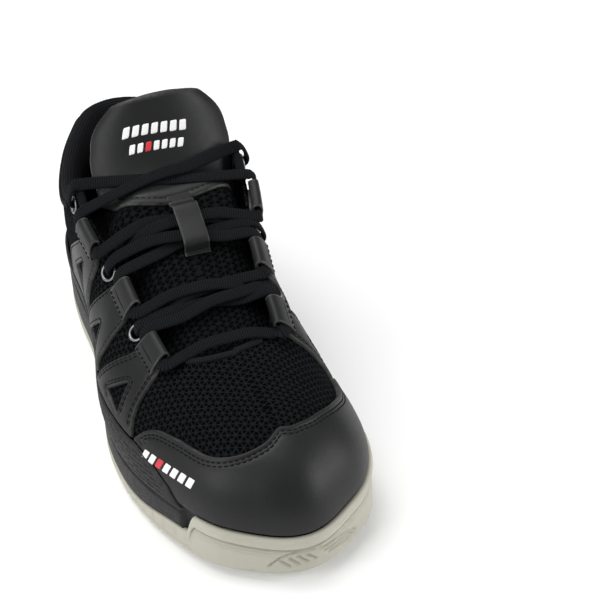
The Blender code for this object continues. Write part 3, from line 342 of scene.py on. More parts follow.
def walk(points, step, closed=False):
    """A line through points, cut into even steps no longer than step."""
    points = [np.asarray(p, float) for p in points]
    ends = points[1:] + points[:1] if closed else points[1:]
    out = []
    for a, b in zip(points, ends):
        count = max(1, math.ceil(np.linalg.norm(b - a) / step))
        out += [a + (b - a) * i / count for i in range(count)]
    return np.array(out if closed else out + [points[-1]])


def dense(points, step):
    """A closed outline cut into even steps no longer than step."""
    return walk(list(points), step, closed=True)


def catmull_rom(a, b, c, d, s):
    """Points between b and c of the smooth curve through a, b, c and d, at shares s."""
    return 0.5 * (2 * b + (c - a) * s + (2 * a - 5 * b + 4 * c - d) * s ** 2
                  + (3 * b - a - 3 * c + d) * s ** 3)


def run_along(points):
    """Length of the line of points from its start up to each of them."""
    return np.concatenate([[0], np.cumsum(np.linalg.norm(np.diff(points, axis=0), axis=1))])


def curve_walk(points, step):
    """A smooth curve through points, cut into steps of about step."""
    p = np.array(points, float)
    p = np.vstack([2 * p[0] - p[1], p, 2 * p[-1] - p[-2]])
    out = []
    for a, b, c, d in zip(p, p[1:], p[2:], p[3:]):
        count = max(1, round(np.linalg.norm(c - b) / step))
        out.append(catmull_rom(a, b, c, d, np.arange(count)[:, None] / count))
    return np.vstack(out + [p[-2][None, :]])


def sole_z(y):
    """Underside of the sole: flat, with toe spring and a small heel rise."""
    toe = np.clip((TOE_SPRING_START - y) / (HALF_LENGTH + TOE_SPRING_START), 0, 1)
    heel = np.clip((y - HEEL_RISE_START) / (HALF_LENGTH - HEEL_RISE_START), 0, 1)
    return TOE_SPRING * toe ** 2 + HEEL_RISE * heel ** 2


def feather_z(y):
    """Height of the feather line, where the upper meets the sole."""
    return smooth(SECTIONS, y, 1)


def bed_z(y):
    """Height of the bed inside the midsole, under the lasting board."""
    return feather_z(y) - BED_DEPTH


def midsole_girth(y, side):
    """How far up the upper the midsole wraps."""
    ys, tops = zip(*MIDSOLE_TOP[side])
    return np.interp(y, ys, tops)


def throat_line(side):
    """Edge of the throat from the front centre back to the collar, in y and girth."""
    return curve_walk(THROAT[side], 6.0)


def rim_line(side):
    """Edge of the collar from the throat back to the heel, in y and girth."""
    return curve_walk(RIM[side], 7.0)


def foot_girth(t, side):
    """Lowest girth of the leather: just over the midsole's top line or the bumper's lip."""
    return np.maximum(1.0, midsole_girth(y_at(t), side) + 0.9)


def foot_edge(side, y_from, y_to, count=5):
    """Corners along the midsole's top line, for the foot of an overlay."""
    return [(y, float(foot_girth(t_at(y), side))) for y in np.linspace(y_from, y_to, count)]


def tongue_point(v, h):
    """Outer face of the tongue at v (its middle line's y) and h (-1 to 1 across)."""
    v, h = np.asarray(v, float), np.asarray(h, float)
    t = t_at(np.minimum(v, 44.0))
    width = 0.44 + 0.15 * ease(v, -80, -30)
    sunk = -4.0 - 2.0 * ease(np.abs(h), 0.3, 0.62)
    lasted = surface(t, h * width, sunk)
    x, z, half, drop, lean = (smooth(TONGUE_TOP, v, column) for column in (1, 2, 3, 4, 5))
    arch = 1 - np.sqrt(np.clip(1 - (np.abs(h) * 0.92) ** 2.4, 0, 1))
    free = np.stack([x + half * h, v + lean * arch, z - drop * arch], -1)
    w = ease(v, *TONGUE_LEAVES)[..., None]
    return lasted * (1 - w) + free * w


def tongue_at(v, h):
    """Points of the tongue's outer face at v and h, and its normals there."""
    along = tongue_point(v + 0.5, h) - tongue_point(v - 0.5, h)
    across = tongue_point(v, h + 0.01) - tongue_point(v, h - 0.01)
    normal = np.cross(across, along)
    return tongue_point(v, h), normal / np.linalg.norm(normal, axis=-1, keepdims=True)


def on_upper(side, place, inward, depth):
    """A point further in along the upper from a place in y and girth, at a depth."""
    y, girth = place
    t, k = chart(side, [(y, girth + inward)])[0]
    return surface(t, k, depth)


def over_edge(side, place, steps):
    """Points past the throat's edge beside an eyelet, as distances beyond the edge and depths."""
    y, girth = place
    line = throat_line(side)
    edge = float(np.interp(y, line[:, 0], line[:, 1])) - girth
    return [on_upper(side, place, edge + beyond, depth) for beyond, depth in steps]


# --- charts of the upper --------------------------------------------------------------------
def arc_table(side, k):
    """Length along the upper at k from the heel tip to each t of the grid."""
    return run_along(surface(TS, side * k))


ARC = {side: arc_table(side, 0.7) for side in (-1, 1)}
ARC_TOP = (arc_table(-1, 0.35) + arc_table(1, 0.35)) / 2


def side_chart(side):
    """Points and normals of one side from (arc from the heel, girth)."""
    def locate(flat):
        t = np.interp(flat[:, 0], ARC[side], TS)
        return lasted(t, k_at(t, side, flat[:, 1]))
    return locate


def flat_side(side, t, girth):
    """Flat coordinates on one side: arc from the heel and girth."""
    return np.column_stack([np.interp(t, TS, ARC[side]), girth])


def on_side(side, corners):
    """Flat coordinates of points given as y and girth."""
    y, girth = np.array(corners, float).T
    return flat_side(side, t_at(y), girth)


def wrap_chart(end):
    """Points and normals round the toe or heel from (signed arc from its tip, girth)."""
    def locate(flat):
        side = np.where(flat[:, 0] < 0, -1, 1)
        away, t, half = np.abs(flat[:, 0]), 0, 0
        for one in (-1, 1):
            run = ARC[one][-1] - away if end == "toe" else away
            found = np.interp(run, ARC[one], TS)
            t = np.where(side == one, found, t)
            half = np.where(side == one, np.interp(found, TS, GIRTHS[one]), half)
        return lasted(t, side * np.clip(1 - flat[:, 1] / half, 0, 1))
    return locate


def on_wrap(end, side, t, girth):
    """Flat coordinates for wrap_chart of points at t and girth."""
    run = np.interp(t, TS, ARC[side])
    run = ARC[side][-1] - run if end == "toe" else run
    return np.column_stack(np.broadcast_arrays(side * run, girth))


def top_chart(flat):
    """Points and normals over the ridge from (arc from the heel, distance from the ridge)."""
    t = np.interp(flat[:, 0], ARC_TOP, TS)
    return lasted(t, np.clip(flat[:, 1] / half_girth(t, flat[:, 1]), -1, 1))


def on_top(side, t, girth):
    """Flat coordinates for top_chart of points at t and girth."""
    t = np.asarray(t, float)
    half = np.interp(t, TS, GIRTHS[side])
    return np.column_stack(np.broadcast_arrays(np.interp(t, TS, ARC_TOP), side * (half - girth)))


def lasted(t, k):
    """Points and normals of the lasted surface."""
    base = surface(t, k)
    return base, surface(t, k, 1.0) - base


# --- flat regions and their meshes ----------------------------------------------------------
def in_chunks(work, points, size=3000):
    """work(points) done a few thousand points at a time, to save memory."""
    return np.concatenate([work(points[i:i + size]) for i in range(0, len(points), size)])


def inside(points, loop):
    """True for flat points inside a closed loop."""
    x0, y0 = loop[:, 0][None, :], loop[:, 1][None, :]
    x1, y1 = np.roll(loop, -1, 0)[:, 0][None, :], np.roll(loop, -1, 0)[:, 1][None, :]

    def test(part):
        x, y = part[:, 0][:, None], part[:, 1][:, None]
        crosses = ((y0 > y) != (y1 > y)) & (x < (x1 - x0) * (y - y0) / (y1 - y0 + 1e-12) + x0)
        return crosses.sum(1) % 2 == 1
    return in_chunks(test, points) if len(points) else np.zeros(0, bool)


def in_region(points, loops):
    """True for points inside the first loop and outside the others, its holes."""
    within = inside(points, loops[0])
    for hole in loops[1:]:
        within &= ~inside(points, hole)
    return within


def distance_to(points, loops):
    """Distance of each point to the nearest of several closed loops."""
    a = np.vstack(loops)[None]
    b = np.vstack([np.roll(loop, -1, 0) for loop in loops])[None]
    run = b - a
    length = np.maximum((run ** 2).sum(-1), 1e-12)

    def measure(part):
        p = part[:, None, :]
        s = np.clip(((p - a) * run).sum(-1) / length, 0, 1)
        return np.sqrt((((p - a) - run * s[..., None]) ** 2).sum(-1).min(1))
    return in_chunks(measure, points) if len(points) else np.zeros(0)


def inset_loop(loop, distance, outer):
    """A loop moved into the region by distance; a hole's loop moves out from the hole."""
    nxt, prev = np.roll(loop, -1, 0), np.roll(loop, 1, 0)
    area = (loop[:, 0] * nxt[:, 1] - nxt[:, 0] * loop[:, 1]).sum()
    tangent = nxt - prev
    tangent /= np.maximum(np.linalg.norm(tangent, axis=1, keepdims=True), 1e-9)
    normal = np.column_stack([-tangent[:, 1], tangent[:, 0]]) * np.sign(area)
    return loop + normal * (distance if outer else -distance)


def soften(corners, radius):
    """A closed outline with its corners rounded."""
    corners = np.array(corners, float)
    out = []
    for before, here, after in zip(np.roll(corners, 1, 0), corners, np.roll(corners, -1, 0)):
        reach = [min(radius, np.linalg.norm(end - here) * 0.45) for end in (before, after)]
        start, stop = (here + (end - here) / max(np.linalg.norm(end - here), 1e-9) * r
                       for end, r in zip((before, after), reach))
        s = np.linspace(0, 1, 5)[:, None]
        out.append(start * (1 - s) ** 2 + here * 2 * s * (1 - s) + stop * s ** 2)
    return np.vstack(out)


def mesh_region(loops, step, insets=(), coarse=None):
    """Triangles over a flat region with rows of points set in from its edges.
    coarse(points) is true where the region is covered and needs only sparse points."""
    low, high = loops[0].min(0), loops[0].max(0)
    rows = np.arange(low[0] + step / 2, high[0], step * 0.87)
    cols = np.arange(low[1] + step / 2, high[1], step)
    grid = np.stack(np.meshgrid(rows, cols, indexing="ij"), -1)
    grid[1::2, :, 1] += step / 2
    if coarse is not None:
        sparse = grid[::4, ::4].reshape(-1, 2)
        grid = grid.reshape(-1, 2)
        grid = np.vstack([grid[~coarse(grid)], sparse[coarse(sparse)]])
    seeds = grid.reshape(-1, 2)
    margin = insets[-1] if insets else 0.0
    seeds = seeds[in_region(seeds, loops)]
    seeds = seeds[distance_to(seeds, loops) > margin + step * 0.5]
    for inset in insets:
        lines = np.vstack([inset_loop(loop, inset, i == 0) for i, loop in enumerate(loops)])
        keep = in_region(lines, loops) & (distance_to(lines, loops) > inset * 0.93)
        seeds = np.vstack([seeds, lines[keep]])
    points, edges = [], []
    for loop in loops:
        first, count = len(points), len(loop)
        points += list(loop)
        edges += [(first + i, first + (i + 1) % count) for i in range(count)]
    on_loops = len(points)
    found = delaunay_2d_cdt([Vector(p) for p in [*points, *seeds]], edges, [], 0, 1e-5)
    flat, faces = np.array([tuple(p) for p in found[0]]), np.array(found[2])
    rim = np.array([not came or min(came) < on_loops for came in found[3]])
    doubtful = rim[faces].all(1)
    keep = np.ones(len(faces), bool)
    keep[doubtful] = in_region(flat[faces[doubtful]].mean(1), loops)
    faces = faces[keep]
    used = np.unique(faces)
    renumber = np.full(len(flat), -1)
    renumber[used] = np.arange(len(used))
    flat = flat[used]
    return flat, renumber[faces], distance_to(flat, loops)


def rounded(d, high, low, radius):
    """Depth of a panel whose edge rolls over from high to low within a radius."""
    s = np.clip(d / radius, 0, 1)
    return low + (high - low) * np.sqrt(1 - (1 - s) ** 2)


def ripple(points, size):
    """Gentle unevenness of moulded or stretched material, from -1 to 1."""
    x, y, z = (points / size).T
    return (np.sin(x * 1.7 + y * 0.9) + np.sin(y * 2.3 - z * 1.1)
            + np.sin(z * 1.9 + x * 0.6)) / 3


def off_middle(value):
    """How far the fractional part of value is from one half."""
    return np.abs(np.modf(value)[0] - 0.5)


def hash_noise(a, b):
    """Repeatable noise from 0 to 1 for two arrays of numbers."""
    return np.modf(np.abs(np.sin(a * 12.9898 + b * 78.233) * 43758.5453))[0]


def net(u, v, pitch=3.75):
    """Relief of the open knit: 1 on yarns that radiate from star-shaped knots, 0 in its holes."""
    stray = 0.13
    u, v = (u + stray * np.sin(v * 1.27 + 1.7 * np.sin(u * 0.71)),
            v + stray * np.sin(u * 1.13 + 1.9 * np.sin(v * 0.83)))
    gaps = []
    for turn in (0, math.pi / 3, -math.pi / 3):
        across = (v * math.cos(turn) + u * math.sin(turn)) / (pitch * 0.866)
        gaps.append(np.abs(across - np.round(across)))
    gaps = np.sort(gaps, axis=0)
    yarn = 1 - ease(gaps[0], 0.05, 0.21)
    knot = 1 - ease(gaps[2], 0.12, 0.42)
    return np.clip(yarn * 0.8 + knot * 0.35, 0, 1)


# --- making pieces --------------------------------------------------------------------------
def piece(name, points, faces, finish, body, slot, nodes=(), blend=None, **attributes):
    """A finished object from points in millimetres, riding on a body of the frame, or left where
    it stands with its transform baked in when blend is given. Each attribute is a number or a
    vector for each point."""
    mesh = bpy.data.meshes.new(name)
    mesh.from_pydata((np.asarray(points, float) * MM).tolist(), [],
                     [tuple(int(i) for i in face) for face in faces])
    work = bmesh.new()
    work.from_mesh(mesh)
    bmesh.ops.recalc_face_normals(work, faces=work.faces)
    if work.calc_volume(signed=True) < 0:
        bmesh.ops.reverse_faces(work, faces=work.faces)
    work.to_mesh(mesh)
    work.free()
    for key, values in attributes.items():
        kind = "FLOAT" if np.ndim(values) == 1 else "FLOAT_VECTOR"
        layer = mesh.attributes.new(key, kind, "POINT")
        layer.data.foreach_set("value" if kind == "FLOAT" else "vector",
                               np.asarray(values, np.float32).ravel())
    mesh.shade_smooth()
    mesh.materials.append(finish)
    obj = bpy.data.objects.new(name, mesh)
    bpy.context.collection.objects.link(obj)
    if blend:
        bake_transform(obj)
    else:
        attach(obj, body)
    if nodes:
        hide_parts(*nodes)
    return obj


def skin_faces(faces, count):
    """Faces of a closed panel: the top, the same faces below it, and the walls between."""
    ends = np.concatenate([faces[:, [0, 1]], faces[:, [1, 2]], faces[:, [2, 0]]])
    _, place, uses = np.unique(np.sort(ends, 1), axis=0, return_index=True, return_counts=True)
    rim = ends[place[uses == 1]]
    walls = [(b, a, a + count, b + count) for a, b in rim]
    return [tuple(f) for f in faces] + [tuple(f[::-1] + count) for f in faces] + walls


def plate(name, loops, locate, step, top, low, finish, slot, nodes=(), insets=(), coarse=None,
          weave=None, merge=False, blend=None):
    """A panel of the upper over a flat region. top(flat, d, base) gives the depth of its face,
    low that of its back; weave(base) its yarn coordinates."""
    flat, faces, d = mesh_region(loops, step, insets, coarse)
    base, normal = locate(flat)
    high = top(flat, d, base)
    if merge:
        _, first, index = np.unique(np.round(base, 2), axis=0, return_index=True,
                                    return_inverse=True)
        faces = index.reshape(-1)[faces]
        faces = faces[(faces[:, 0] != faces[:, 1]) & (faces[:, 1] != faces[:, 2])
                      & (faces[:, 0] != faces[:, 2])]
        flat, base, normal, high, d = (a[first] for a in (flat, base, normal, high, d))
    points = np.vstack([base + normal * high[:, None],
                        base + normal * np.minimum(low, high - 0.05)[:, None]])
    yarn = np.column_stack([flat, np.zeros(len(flat))]) if weave is None else weave(base)
    piece(name, points, skin_faces(faces, len(flat)), finish, "shoe", slot, nodes, blend=blend,
          cloth=np.vstack([yarn, yarn]), edge=np.concatenate([d, d * 0]),
          relief=np.tile(net(yarn[:, 0], yarn[:, 1]), 2))


def rings_faces(rows, count):
    """Quads between successive rings of count points."""
    faces = []
    for r in range(rows - 1):
        for i in range(count):
            j = (i + 1) % count
            faces.append((r * count + i, r * count + j,
                          (r + 1) * count + j, (r + 1) * count + i))
    return faces


def end_faces(rows, count):
    """One face across the first ring and one across the last."""
    return [tuple(range(count)), tuple((rows - 1) * count + i for i in range(count))]


def sweep(name, centres, normals, section, finish, slot, nodes=(), weave_scale=1.0):
    """A closed section carried along a line. section(i, share, run) gives its (across, up)."""
    centres = np.asarray(centres, float)
    tangents = np.gradient(centres, axis=0)
    tangents /= np.linalg.norm(tangents, axis=1, keepdims=True)
    ups = normals - tangents * (normals * tangents).sum(1, keepdims=True)
    ups /= np.maximum(np.linalg.norm(ups, axis=1, keepdims=True), 1e-9)
    sides = np.cross(tangents, ups)
    runs = run_along(centres)
    points, yarn, edge = [], [], []
    for i, centre in enumerate(centres):
        shape = section(i, runs[i] / runs[-1], runs[i])
        points.append(centre + sides[i] * shape[:, :1] + ups[i] * shape[:, 1:2])
        around = np.arange(len(shape)) / len(shape)
        edge.append(np.abs(shape[:, 0]).max() - np.abs(shape[:, 0]))
        yarn.append(np.column_stack([np.full(len(shape), runs[i]), around * weave_scale,
                                     shape[:, 0]]))
    rows, count = len(points), len(points[0])
    faces = rings_faces(rows, count) + end_faces(rows, count)
    piece(name, np.vstack(points), faces, finish, "shoe", slot, nodes,
          cloth=np.vstack(yarn), edge=np.concatenate(edge))


def oval(width, thick, count=16, power=2.4):
    """A closed section; a power over 2 squares it off."""
    turn = np.arange(count) * 2 * math.pi / count
    c, s = np.cos(turn), np.sin(turn)
    return np.column_stack([np.sign(c) * np.abs(c) ** (2 / power) * width / 2,
                            np.sign(s) * np.abs(s) ** (2 / power) * thick / 2])


def capsule():
    """Points and faces of one stitch: x from -1 to 1 along it, y and z across it."""
    profile = ((-1.0, 0.0), (-0.92, 0.55), (-0.55, 0.95), (0.0, 1.0), (0.55, 0.95),
               (0.92, 0.55), (1.0, 0.0))
    around = 8
    points, faces = [(profile[0][0], 0, 0)], []
    for x, r in profile[1:-1]:
        points += [(x, r * math.cos(a), r * math.sin(a))
                   for a in np.arange(around) * 2 * math.pi / around]
    points.append((profile[-1][0], 0, 0))
    rows = len(profile) - 2
    for i in range(around):
        j = (i + 1) % around
        faces.append((0, 1 + j, 1 + i))
        for r in range(rows - 1):
            a, b = 1 + r * around, 1 + (r + 1) * around
            faces.append((a + i, a + j, b + j, b + i))
        last = 1 + (rows - 1) * around
        faces.append((last + i, last + j, len(points) - 1))
    return np.array(points), faces


STITCH_LENGTH, STITCH_RADIUS, STITCH_PITCH = 1.9, 0.32, 2.7


def stitching(name, places, blend=None, radius=STITCH_RADIUS):
    """Sewn stitches as one piece. Each place is its centre, its run and the normal there."""
    shape, faces = capsule()
    points, found = [], []
    for centre, along, normal in places:
        along = along / np.linalg.norm(along)
        normal = normal - along * normal.dot(along)
        normal /= np.linalg.norm(normal)
        across = np.cross(normal, along)
        first = len(points) * len(shape)
        points.append(centre + along * shape[:, :1] * STITCH_LENGTH / 2
                      + across * shape[:, 1:2] * radius + normal * shape[:, 2:] * radius * 0.8)
        found += [tuple(first + i for i in face) for face in faces]
    piece(name, np.vstack(points), found, THREAD, "shoe", "leather", blend=blend)


def stitch_places(line, locate, depth):
    """Places for stitches along a flat line on a surface."""
    base, normal = locate(line)
    runs = run_along(base)
    count = int(runs[-1] / STITCH_PITCH)
    if count < 2:
        return []
    at = (np.arange(count) + 0.5) * runs[-1] / count
    centre, up, ahead = (np.column_stack([np.interp(at + shift, runs, values[:, c])
                                          for c in range(3)])
                         for shift, values in ((0, base), (0, normal), (0.8, base)))
    centre = centre + up * depth
    along = ahead + up * depth - centre
    ok = np.linalg.norm(along, axis=1) > 0.2
    return list(zip(centre[ok], along[ok], up[ok]))


def stitch_loops(loops, locate, distances, keep, depth):
    """Places for rows of stitches that follow a region's edges where keep(flat) holds."""
    places = []
    for i, loop in enumerate(loops):
        for distance in distances:
            line = inset_loop(loop, distance, i == 0)
            ok = keep(line) & in_region(line, loops)
            ok &= distance_to(line, loops) > distance * 0.9
            if ok.all():
                runs = [np.vstack([line, line[:1]])]
            elif not ok.any():
                runs = []
            else:
                first = int(np.argmin(ok))
                turned, mask = np.roll(line, -first, 0), np.roll(ok, -first)
                cuts = np.flatnonzero(np.diff(np.concatenate([[0], mask.astype(int), [0]])))
                runs = [turned[a:b] for a, b in zip(cuts[::2], cuts[1::2]) if b - a > 4]
            for run in runs:
                places += stitch_places(run, locate, depth)
    return places


# --- finishes -------------------------------------------------------------------------------
class Finish:
    """A node material built from short calls."""

    def __init__(self, name):
        self.material = bpy.data.materials.new(name)
        self.material.use_nodes = True
        self.tree = self.material.node_tree
        self.shader = self.tree.nodes["Principled BSDF"]
        self.place = self.node("ShaderNodeTexCoord").outputs["Object"]

    def node(self, kind, inputs=(), **settings):
        made = self.tree.nodes.new(kind)
        for key, value in settings.items():
            setattr(made, key, value)
        for key, value in dict(inputs).items():
            self.feed(made.inputs[key], value)
        return made

    def feed(self, socket, value):
        if isinstance(value, bpy.types.NodeSocket):
            self.tree.links.new(value, socket)
        else:
            socket.default_value = value

    def maths(self, operation, a, b=0.0):
        return self.node("ShaderNodeMath", {0: a, 1: b}, operation=operation).outputs[0]

    def plus(self, a, b):
        return self.maths("ADD", a, b)

    def times(self, a, b):
        return self.maths("MULTIPLY", a, b)

    def band(self, value, low, high):
        """0 below low and 1 above high, smooth between."""
        made = self.node("ShaderNodeMapRange", {"Value": value, "From Min": low, "From Max": high},
                         interpolation_type="SMOOTHSTEP")
        return made.outputs["Result"]

    def noise(self, scale, detail=3.0, rough=0.55):
        made = self.node("ShaderNodeTexNoise", {"Vector": self.place, "Scale": scale,
                                                "Detail": detail, "Roughness": rough})
        return made.outputs["Fac"]

    def cells(self, scale):
        made = self.node("ShaderNodeTexVoronoi", {"Vector": self.place, "Scale": scale})
        return made.outputs["Distance"]

    def mix(self, share, a, b):
        made = self.node("ShaderNodeMix", {0: share}, data_type="RGBA")
        for socket, value in ((made.inputs[6], a), (made.inputs[7], b)):
            self.feed(socket, (*value, 1.0) if isinstance(value, tuple) else value)
        return made.outputs[2]

    def attribute(self, name):
        return self.node("ShaderNodeAttribute", attribute_name=name)

    def axes(self, vector):
        return self.node("ShaderNodeSeparateXYZ", {0: vector}).outputs

    def bump(self, height, depth, strength=1.0, under=None):
        made = self.node("ShaderNodeBump", {"Height": height, "Strength": strength,
                                            "Distance": depth * MM})
        if under is not None:
            self.feed(made.inputs["Normal"], under)
        return made.outputs["Normal"]

    def done(self, colour, roughness, normal=None, **others):
        names = {"metallic": "Metallic", "specular": "Specular IOR Level",
                 "sheen": "Sheen Weight", "sheen_roughness": "Sheen Roughness"}
        self.feed(self.shader.inputs["Base Color"],
                  (*colour, 1.0) if isinstance(colour, tuple) else colour)
        self.feed(self.shader.inputs["Roughness"], roughness)
        if normal is not None:
            self.feed(self.shader.inputs["Normal"], normal)
        for key, value in others.items():
            self.feed(self.shader.inputs[names[key]], value)
        return self.material


def leather_finish(name, dark, light, roughness=0.40):
    """Coated black synthetic leather: fine grain, soft blotches, and paler edges: a painted
    highlight on the rolled edges, broken up by scuffed wear.
    """
    f = Finish(name)
    pores = f.cells(1500.0)
    creases = f.noise(420.0, 4.0, 0.6)
    blotch = f.band(f.noise(22.0, 3.0), 0.35, 0.7)
    colour = f.mix(blotch, dark, light)
    scuff = f.times(f.band(f.noise(160.0, 4.0, 0.7), 0.45, 0.62), 0.5)
    # paler towards the cut edges: a painted highlight along the rolled edges, varied by scuff
    # noise for wear
    near = f.maths("SUBTRACT", 1.0, f.band(f.attribute("edge").outputs["Fac"], 0.15, 1.1))
    edge_highlight_and_wear = f.times(near, f.plus(0.35, scuff))
    colour = f.mix(edge_highlight_and_wear, colour, (0.07, 0.07, 0.064))
    rough = f.plus(roughness, f.times(creases, 0.14))
    normal = f.bump(pores, 0.05, 0.5, f.bump(creases, 0.10, 0.55))
    return f.done(colour, rough, normal, specular=0.28)


def knit_finish(name, yarn, hole):
    """Open sports mesh: grey-black yarns crossing over holes painted near-black as the shade
    inside them.
    """
    f = Finish(name)
    mask = f.band(f.attribute("relief").outputs["Fac"], 0.25, 0.8)
    strands = f.node("ShaderNodeTexWave", {"Vector": f.attribute("cloth").outputs["Vector"],
                                           "Scale": 1.1, "Distortion": 5.0, "Detail": 2.0},
                     bands_direction="DIAGONAL").outputs["Fac"]
    fuzz = f.noise(2600.0, 2.0)
    tone = f.times(f.plus(0.5, f.times(strands, 0.6)),
                   f.plus(0.5, f.times(fuzz, 1.0)))
    patch = f.plus(0.7, f.times(f.noise(110.0, 3.0), 0.6))
    share = f.times(mask, f.times(tone, patch))
    # the holes get the near-black colour: painted shade in the recesses between the yarns
    colour = f.mix(share, hole, yarn)
    height = f.plus(mask, f.times(strands, 0.35))
    normal = f.bump(height, 0.35, 0.8, f.bump(fuzz, 0.05, 0.5))
    return f.done(colour, 0.92, normal, specular=0.05)


def ribbed_finish(name, colour_low, colour_high, pitch):
    """Ribbed or woven textile: ridges along one axis of the cloth with a finer cross weave; its
    colour is painted darker in the grooves as shade and lighter on the rib tops.
    """
    f = Finish(name)
    parts = f.axes(f.attribute("cloth").outputs["Vector"])
    turn = 2 * math.pi / pitch
    rib = f.plus(0.5, f.times(0.5, f.maths("SINE", f.times(parts[0], turn))))
    other = f.times(parts[1], turn * 1.9)
    fine = f.plus(0.5, f.times(0.5, f.maths("SINE", other)))
    fuzz = f.noise(2400.0, 3.0)
    # colour follows the ribs: painted shade in their grooves and lighter tops, with random fibre
    # fuzz mixed in
    tone = f.plus(f.times(rib, 0.6), f.times(fuzz, 0.5))
    colour = f.mix(tone, colour_low, colour_high)
    height = f.plus(rib, f.times(fine, 0.35))
    normal = f.bump(height, 0.22, 0.8, f.bump(fuzz, 0.06, 0.6))
    return f.done(colour, 0.88, normal, specular=0.08, sheen=0.015, sheen_roughness=0.4)


def rubber_finish(name, pale, stained):
    """Warm grey sole rubber with faint mottling, mould grain and scuffs."""
    f = Finish(name)
    mottling = f.band(f.noise(30.0, 5.0, 0.6), 0.3, 0.75)
    specks = f.band(f.noise(900.0, 2.0), 0.62, 0.75)
    colour = f.mix(f.times(mottling, 0.35), pale, stained)
    colour = f.mix(f.times(specks, 0.12), colour, (0.30, 0.28, 0.22))
    grain = f.cells(1100.0)
    scrapes = f.noise(220.0, 5.0, 0.7)
    rough = f.plus(0.48, f.times(scrapes, 0.2))
    normal = f.bump(grain, 0.03, 0.4, f.bump(scrapes, 0.06, 0.4))
    return f.done(colour, rough, normal, specular=0.4)


def foam_finish(name, dark, light, pores=700.0):
    """Moulded or cut foam: stippled skin, slightly paler on rubbed spots."""
    f = Finish(name)
    stipple = f.cells(pores)
    rubbed = f.band(f.noise(90.0, 5.0, 0.65), 0.5, 0.72)
    colour = f.mix(f.times(rubbed, 0.6), dark, light)
    rough = f.plus(0.5, f.times(stipple, 0.25))
    normal = f.bump(stipple, 0.12, 0.6, f.bump(f.noise(260.0, 4.0), 0.15, 0.5))
    return f.done(colour, rough, normal, specular=0.4)


def metal_finish(name, colour, roughness):
    """Plated metal with hairline scratches and a little tarnish."""
    f = Finish(name)
    scratches = f.noise(1500.0, 4.0, 0.7)
    tarnish = f.band(f.noise(400.0, 3.0), 0.45, 0.8)
    made = f.mix(f.times(tarnish, 0.5), colour, tuple(c * 0.45 for c in colour))
    rough = f.plus(roughness, f.times(scratches, 0.2))
    return f.done(made, rough, f.bump(scratches, 0.02, 0.5), metallic=1.0)


def print_finish(name, colour):
    """Thin screen print: its colour broken up slightly by the grain under it."""
    f = Finish(name)
    wear = f.band(f.noise(1300.0, 4.0, 0.7), 0.60, 0.78)
    made = f.mix(f.times(wear, 0.35), colour, tuple(c * 0.4 for c in colour))
    return f.done(made, 0.5, f.bump(f.cells(1500.0), 0.03, 0.5))


def board_finish(name, colour_low, colour_high):
    """Pressed fibre board: flecked fibres and a dull surface."""
    f = Finish(name)
    fibres = f.noise(700.0, 6.0, 0.75)
    colour = f.mix(f.band(fibres, 0.35, 0.65), colour_low, colour_high)
    return f.done(colour, 0.85, f.bump(fibres, 0.2, 0.6), specular=0.3)


LEATHER = leather_finish("leather_black", (0.0085, 0.009, 0.0095), (0.0125, 0.013, 0.0135))
STRAP = leather_finish("leather_strap", (0.010, 0.0105, 0.011), (0.015, 0.0155, 0.0155), 0.44)
# each ribbed finish takes its first colour in its rib grooves as painted shade, and where its fuzz
# is dark
THREAD = ribbed_finish("thread_black", (0.004, 0.004, 0.004), (0.012, 0.012, 0.012), 0.8)
# the last colour of each knit is the painted shade for its holes
TONGUE_KNIT = knit_finish("knit_tongue", (0.0092, 0.0102, 0.0116), (0.0007, 0.0008, 0.0010))
KNIT = knit_finish("knit_black", (0.0122, 0.0136, 0.0152), (0.0007, 0.0008, 0.0010))
LINING = ribbed_finish("lining_ribbed", (0.002, 0.002, 0.0025), (0.011, 0.0115, 0.013), 1.5)
BINDING = ribbed_finish("binding_woven", (0.003, 0.003, 0.003), (0.017, 0.018, 0.019), 1.1)
LACE_WEAVE = ribbed_finish("lace_weave", (0.0015, 0.0015, 0.002), (0.0125, 0.0135, 0.0155), 1.15)
RUBBER = rubber_finish("rubber_grey", (0.48, 0.47, 0.395), (0.37, 0.36, 0.29))
MIDSOLE = foam_finish("midsole_black", (0.007, 0.007, 0.0075), (0.024, 0.024, 0.0235))
METAL = metal_finish("eyelet_metal", (0.26, 0.265, 0.27), 0.3)
STEEL = metal_finish("shank_steel", (0.50, 0.51, 0.53), 0.30)
WHITE = print_finish("print_white", (0.86, 0.86, 0.85))
RED = print_finish("print_red", (0.62, 0.03, 0.04))
BOARD = board_finish("board_fibre", (0.42, 0.36, 0.26), (0.60, 0.54, 0.42))
STIFF = foam_finish("stiffener_grey", (0.22, 0.21, 0.19), (0.32, 0.31, 0.28), 900.0)
FOOTBED = ribbed_finish("insole_fabric", (0.006, 0.006, 0.007), (0.022, 0.022, 0.024), 2.0)
PLASTIC = foam_finish("aglet_plastic", (0.010, 0.010, 0.010), (0.02, 0.02, 0.02), 2500.0)


# --- sole -----------------------------------------------------------------------------------
def even_stations(step):
    """Values of t evenly spaced along the outline, heel tip to toe tip."""
    t = np.linspace(0, 1, 2001)
    runs = 0
    for side in (-1, 1):
        x, y = outline(t, side)
        runs = runs + np.concatenate([[0], np.cumsum(np.hypot(np.diff(x), np.diff(y)))]) / 2
    return np.interp(np.linspace(0, runs[-1], int(runs[-1] / step)), runs, t)


SOLE_T = even_stations(0.9)
SOLE_Y = y_at(SOLE_T)


def loop_of(point_at):
    """A closed loop: lateral side from heel to toe, then the medial side back."""
    lateral, medial = point_at(-1), point_at(1)
    return np.vstack([lateral, medial[-2:0:-1]])


def sole_loop(inset, height):
    """The sole's outline moved in by inset, a number or a function of y and side."""
    def point_at(side):
        deep = inset(SOLE_Y, side) if callable(inset) else inset
        x, y = outline(SOLE_T, side, deep)
        return np.column_stack([x, y, np.broadcast_to(height(SOLE_Y, side), x.shape)])
    return loop_of(point_at)


